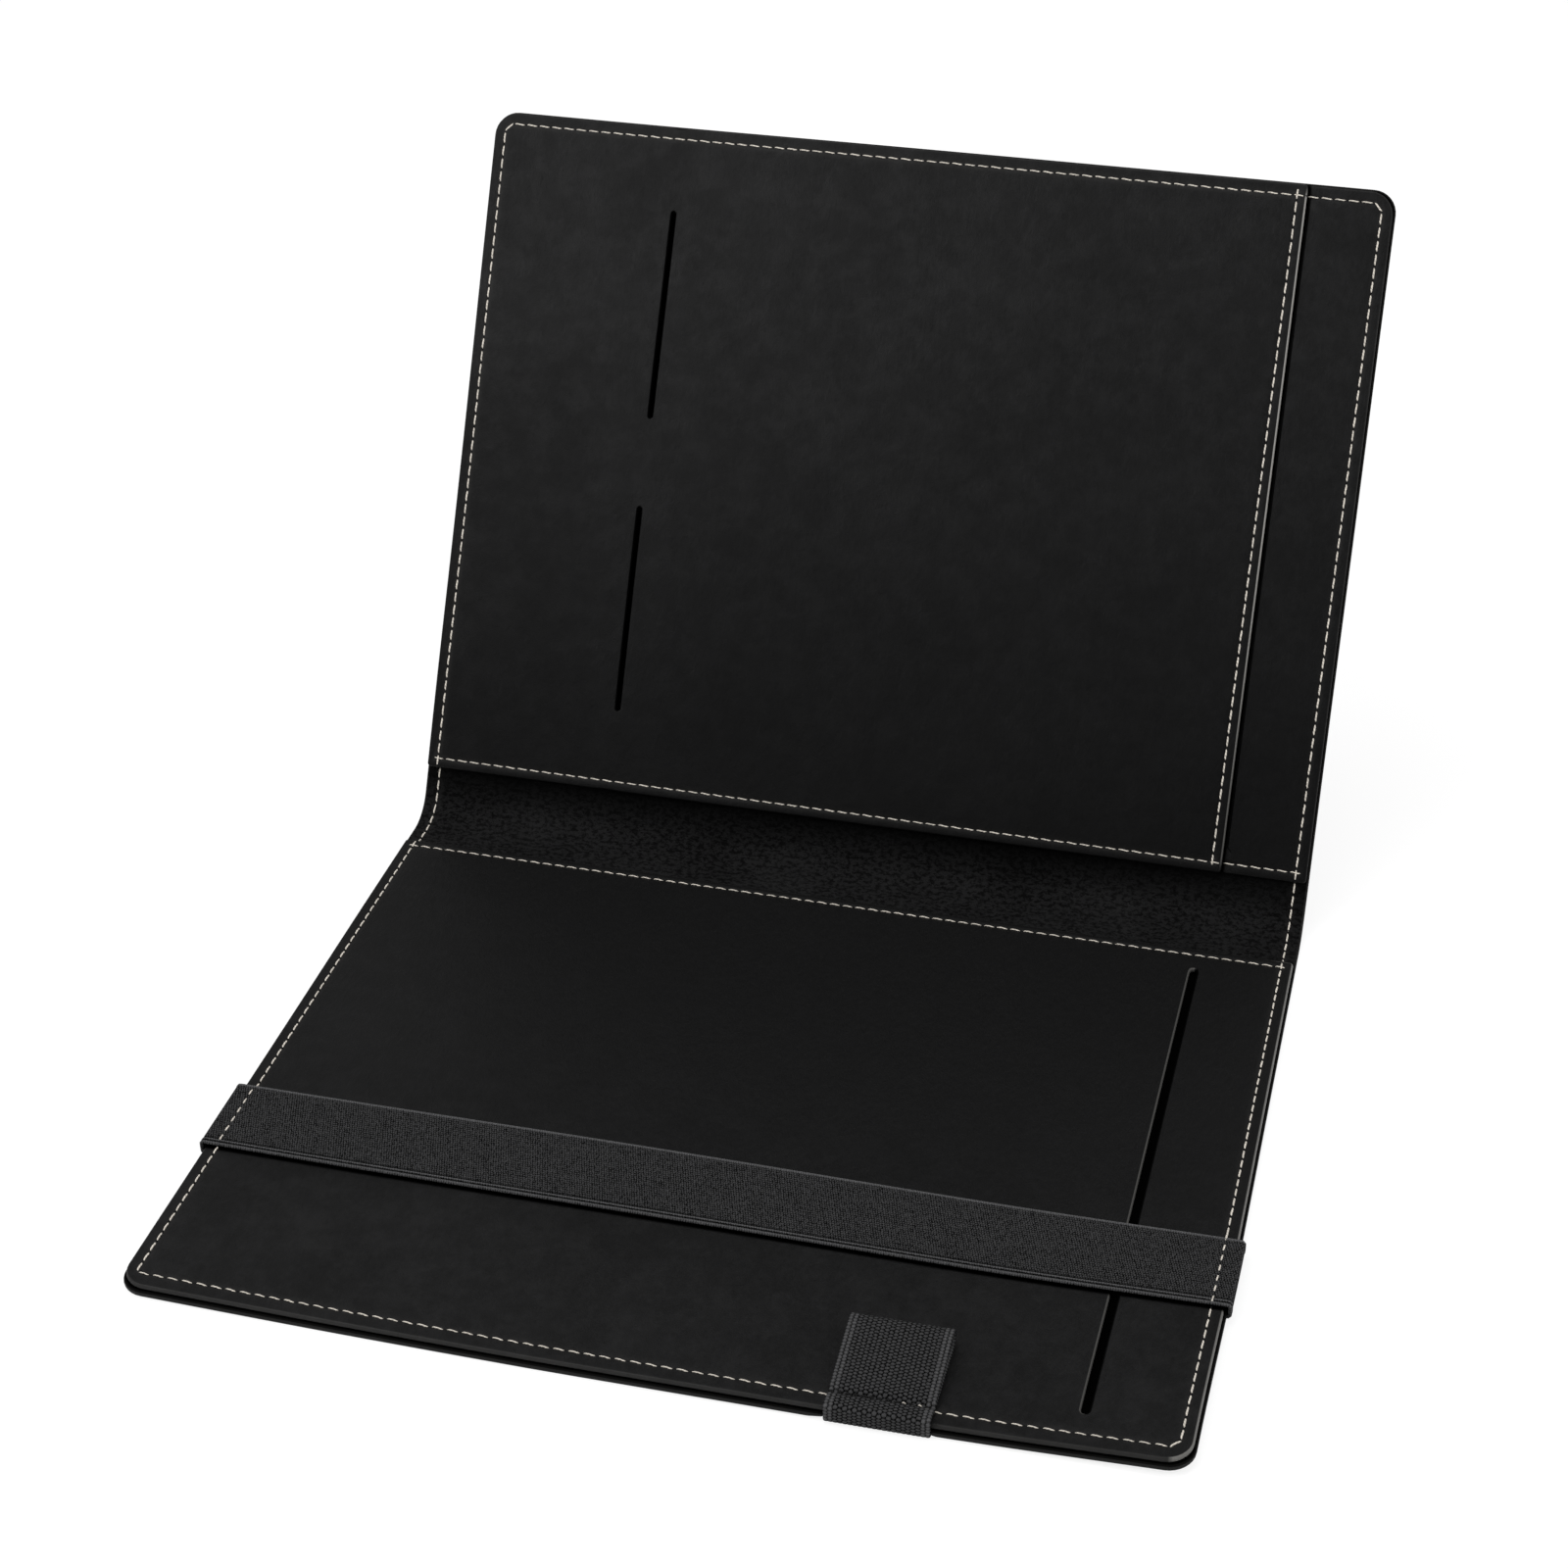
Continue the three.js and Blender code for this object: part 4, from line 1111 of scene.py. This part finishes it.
def make_stitching():
    """All seams: the stitches and needle holes on the inside, and the stitches on the outside. The pocket's
    row doesn't reach the outside."""
    finish = sewing_thread()
    back, front = seam_rows()
    side = folio.half - 1.2 * MM
    pocket = pocket_high[0] - sizes().seam_margin
    seams = {
        "back_seam": (seam_path(True), "back fold", "back_perimeter_thread", "spine_thread_left"),
        "front_seam": (seam_path(False), "front fold", "front_perimeter_thread", "spine_thread_right"),
        "back_row": ([(-side, back), (side, back)], "back_cover", "back_panel_spine_thread"),
        "front_row": ([(side, front), (-side, front)], "front_cover", "front_panel_spine_thread"),
        "pocket_row": (
            [(pocket, front - 1.5 * MM), (pocket, folio.end - 0.4 * MM)],
            "front_cover",
            "pocket_edge_thread",
        ),
    }
    # A stitch lies across each corner but the left front one, where two stitches meet
    corners = {"back_seam": [(4, 0.5), (11, 0)], "front_seam": [(4, 0.5), (11, 0.5)]}
    kinds = {"inside": (True, False), "holes": (True, True), "outside": (False, False)}
    for seed, (name, (path, body, *nodes)) in enumerate(seams.items()):
        for kind, (inside, holes) in kinds.items():
            if name == "pocket_row" and kind == "outside":
                continue
            row = row_of_stitches(np.array(path, float), seed, corners.get(name, []), holes)
            flat, quads, dark, place = stitch_beads(row, inside, holes)
            piece = make_piece(f"{name}_{kind}", flat, quads, dark, finish, place)
            dress(piece, body, "thread", *(nodes if kind == "inside" else ()))


# Studio


def area_light(name, place, target, size, power):
    data = bpy.data.lights.new(name, "AREA")
    data.shape = "RECTANGLE"
    data.size, data.size_y = size
    data.energy = power
    light = add_object(name, data)
    direction = Vector(target) - Vector(place)
    light.matrix_world = Matrix.Translation(place) @ direction.to_track_quat("-Z", "Y").to_matrix().to_4x4()


def make_floor():
    """A pale floor that a camera sees as white but for a soft shadow where the organizer touches it."""
    mesh = bpy.data.meshes.new("floor")
    mesh.from_pydata([(-6, -6, 0), (6, -6, 0), (6, 6, 0), (-6, 6, 0)], [], [(0, 1, 2, 3)])
    floor = add_object("floor", mesh)
    material = bpy.data.materials.new("floor")
    tree = empty_tree(material)
    paper = add_node(tree, "ShaderNodeBsdfDiffuse", Color=rgba(colours().floor))
    glow = add_node(tree, "ShaderNodeEmission", Strength=1.15)
    seen = add_node(tree, "ShaderNodeLightPath", output="Is Camera Ray")
    mixed = add_node(tree, "ShaderNodeMixShader", slots={0: seen * 0.7, 1: paper, 2: glow})
    add_node(tree, "ShaderNodeOutputMaterial", Surface=mixed)
    mesh.materials.append(material)


def make_world():
    """White for the camera and a softer grey for the light it sheds."""
    world = bpy.data.worlds.new("studio")
    tree = empty_tree(world)
    seen = add_node(tree, "ShaderNodeLightPath", output="Is Camera Ray")
    sky = add_node(tree, "ShaderNodeBackground", Color=(1, 1, 1, 1), Strength=seen * 0.61 + 0.44)
    add_node(tree, "ShaderNodeOutputWorld", Surface=sky)
    bpy.context.scene.world = world


def make_camera():
    """The photograph's camera: place, direction, roll, focal length and the shift of its cropped frame."""
    data = bpy.data.cameras.new("camera")
    data.lens = 67.45
    data.sensor_width = 36
    data.shift_x = -0.05975
    data.shift_y = 0.009375
    camera = add_object("camera", data)
    forward = Vector((-0.188199, 0.810945, -0.55403)).normalized()
    right = Vector((0.973516, 0.228584, 0.003889)).normalized()
    up = right.cross(forward)
    turn = Matrix((right, up, -forward)).transposed()
    camera.matrix_world = Matrix.Translation((0.20382, -0.70205, 0.60607)) @ turn.to_4x4()
    bpy.context.scene.camera = camera


def make_studio():
    make_floor()
    make_world()
    area_light("key light", (-0.95, -0.75, 1.15), (-0.08, 0.15, 0.15), (0.8, 0.8), 11.5)
    area_light("side light", (1.3, -0.1, 0.8), (0.05, 0.1, 0.08), (0.4, 1.0), 6)
    area_light("top light", (-0.1, 0.25, 1.7), (0, 0.1, 0), (1.2, 0.6), 7)
    make_camera()
    scene = bpy.context.scene
    scene.view_settings.view_transform = "Standard"
    scene.view_settings.look = "None"


# Operators and panel


class BuildOuterLeather(bpy.types.Operator):
    """Build the outer leather with its spine"""

    bl_idname = "organizer.outer_leather"
    bl_label = "Outer leather"

    def execute(self, context):
        make_outer_leather()
        return {"FINISHED"}


class BuildPanels(bpy.types.Operator):
    """Build the notepad panel, the lining and the document pocket"""

    bl_idname = "organizer.panels"
    bl_label = "Inner panels"

    def execute(self, context):
        make_notepad()
        make_lining()
        make_pocket()
        return {"FINISHED"}


class BuildElastic(bpy.types.Operator):
    """Build the closure band and the pen loop"""

    bl_idname = "organizer.elastic"
    bl_label = "Elastic"

    def execute(self, context):
        make_band()
        make_loop()
        return {"FINISHED"}


class BuildStitching(bpy.types.Operator):
    """Build the stitches of all seams"""

    bl_idname = "organizer.stitching"
    bl_label = "Stitching"

    def execute(self, context):
        make_stitching()
        return {"FINISHED"}


class BuildStudio(bpy.types.Operator):
    """Build the floor, the lights and the camera"""

    bl_idname = "organizer.studio"
    bl_label = "Studio"

    def execute(self, context):
        make_studio()
        return {"FINISHED"}


class OrganizerPanel(bpy.types.Panel):
    """Sizes, colours and the steps that build the organizer"""

    bl_idname = "VIEW3D_PT_organizer"
    bl_label = "Document organizer"
    bl_space_type = "VIEW_3D"
    bl_region_type = "UI"
    bl_category = "Organizer"

    def draw(self, context):
        for group in (context.scene.organizer_sizes, context.scene.organizer_colours):
            box = self.layout.box()
            for name in group.__annotations__:
                box.prop(group, name)
        for step in STEPS:
            self.layout.operator(step.bl_idname)


STEPS = (BuildOuterLeather, BuildPanels, BuildElastic, BuildStitching, BuildStudio)
CLASSES = (OrganizerSizes, OrganizerColours, *STEPS, OrganizerPanel)


def register():
    for item in CLASSES:
        bpy.utils.register_class(item)
    bpy.types.Scene.organizer_sizes = PointerProperty(type=OrganizerSizes)
    bpy.types.Scene.organizer_colours = PointerProperty(type=OrganizerColours)


def unregister():
    del bpy.types.Scene.organizer_colours
    del bpy.types.Scene.organizer_sizes
    for item in reversed(CLASSES):
        bpy.utils.unregister_class(item)


def main():
    register()
    bpy.ops.organizer.outer_leather()
    bpy.ops.organizer.panels()
    bpy.ops.organizer.elastic()
    bpy.ops.organizer.stitching()
    bpy.ops.organizer.studio()


if __name__ == "__main__":
    main()
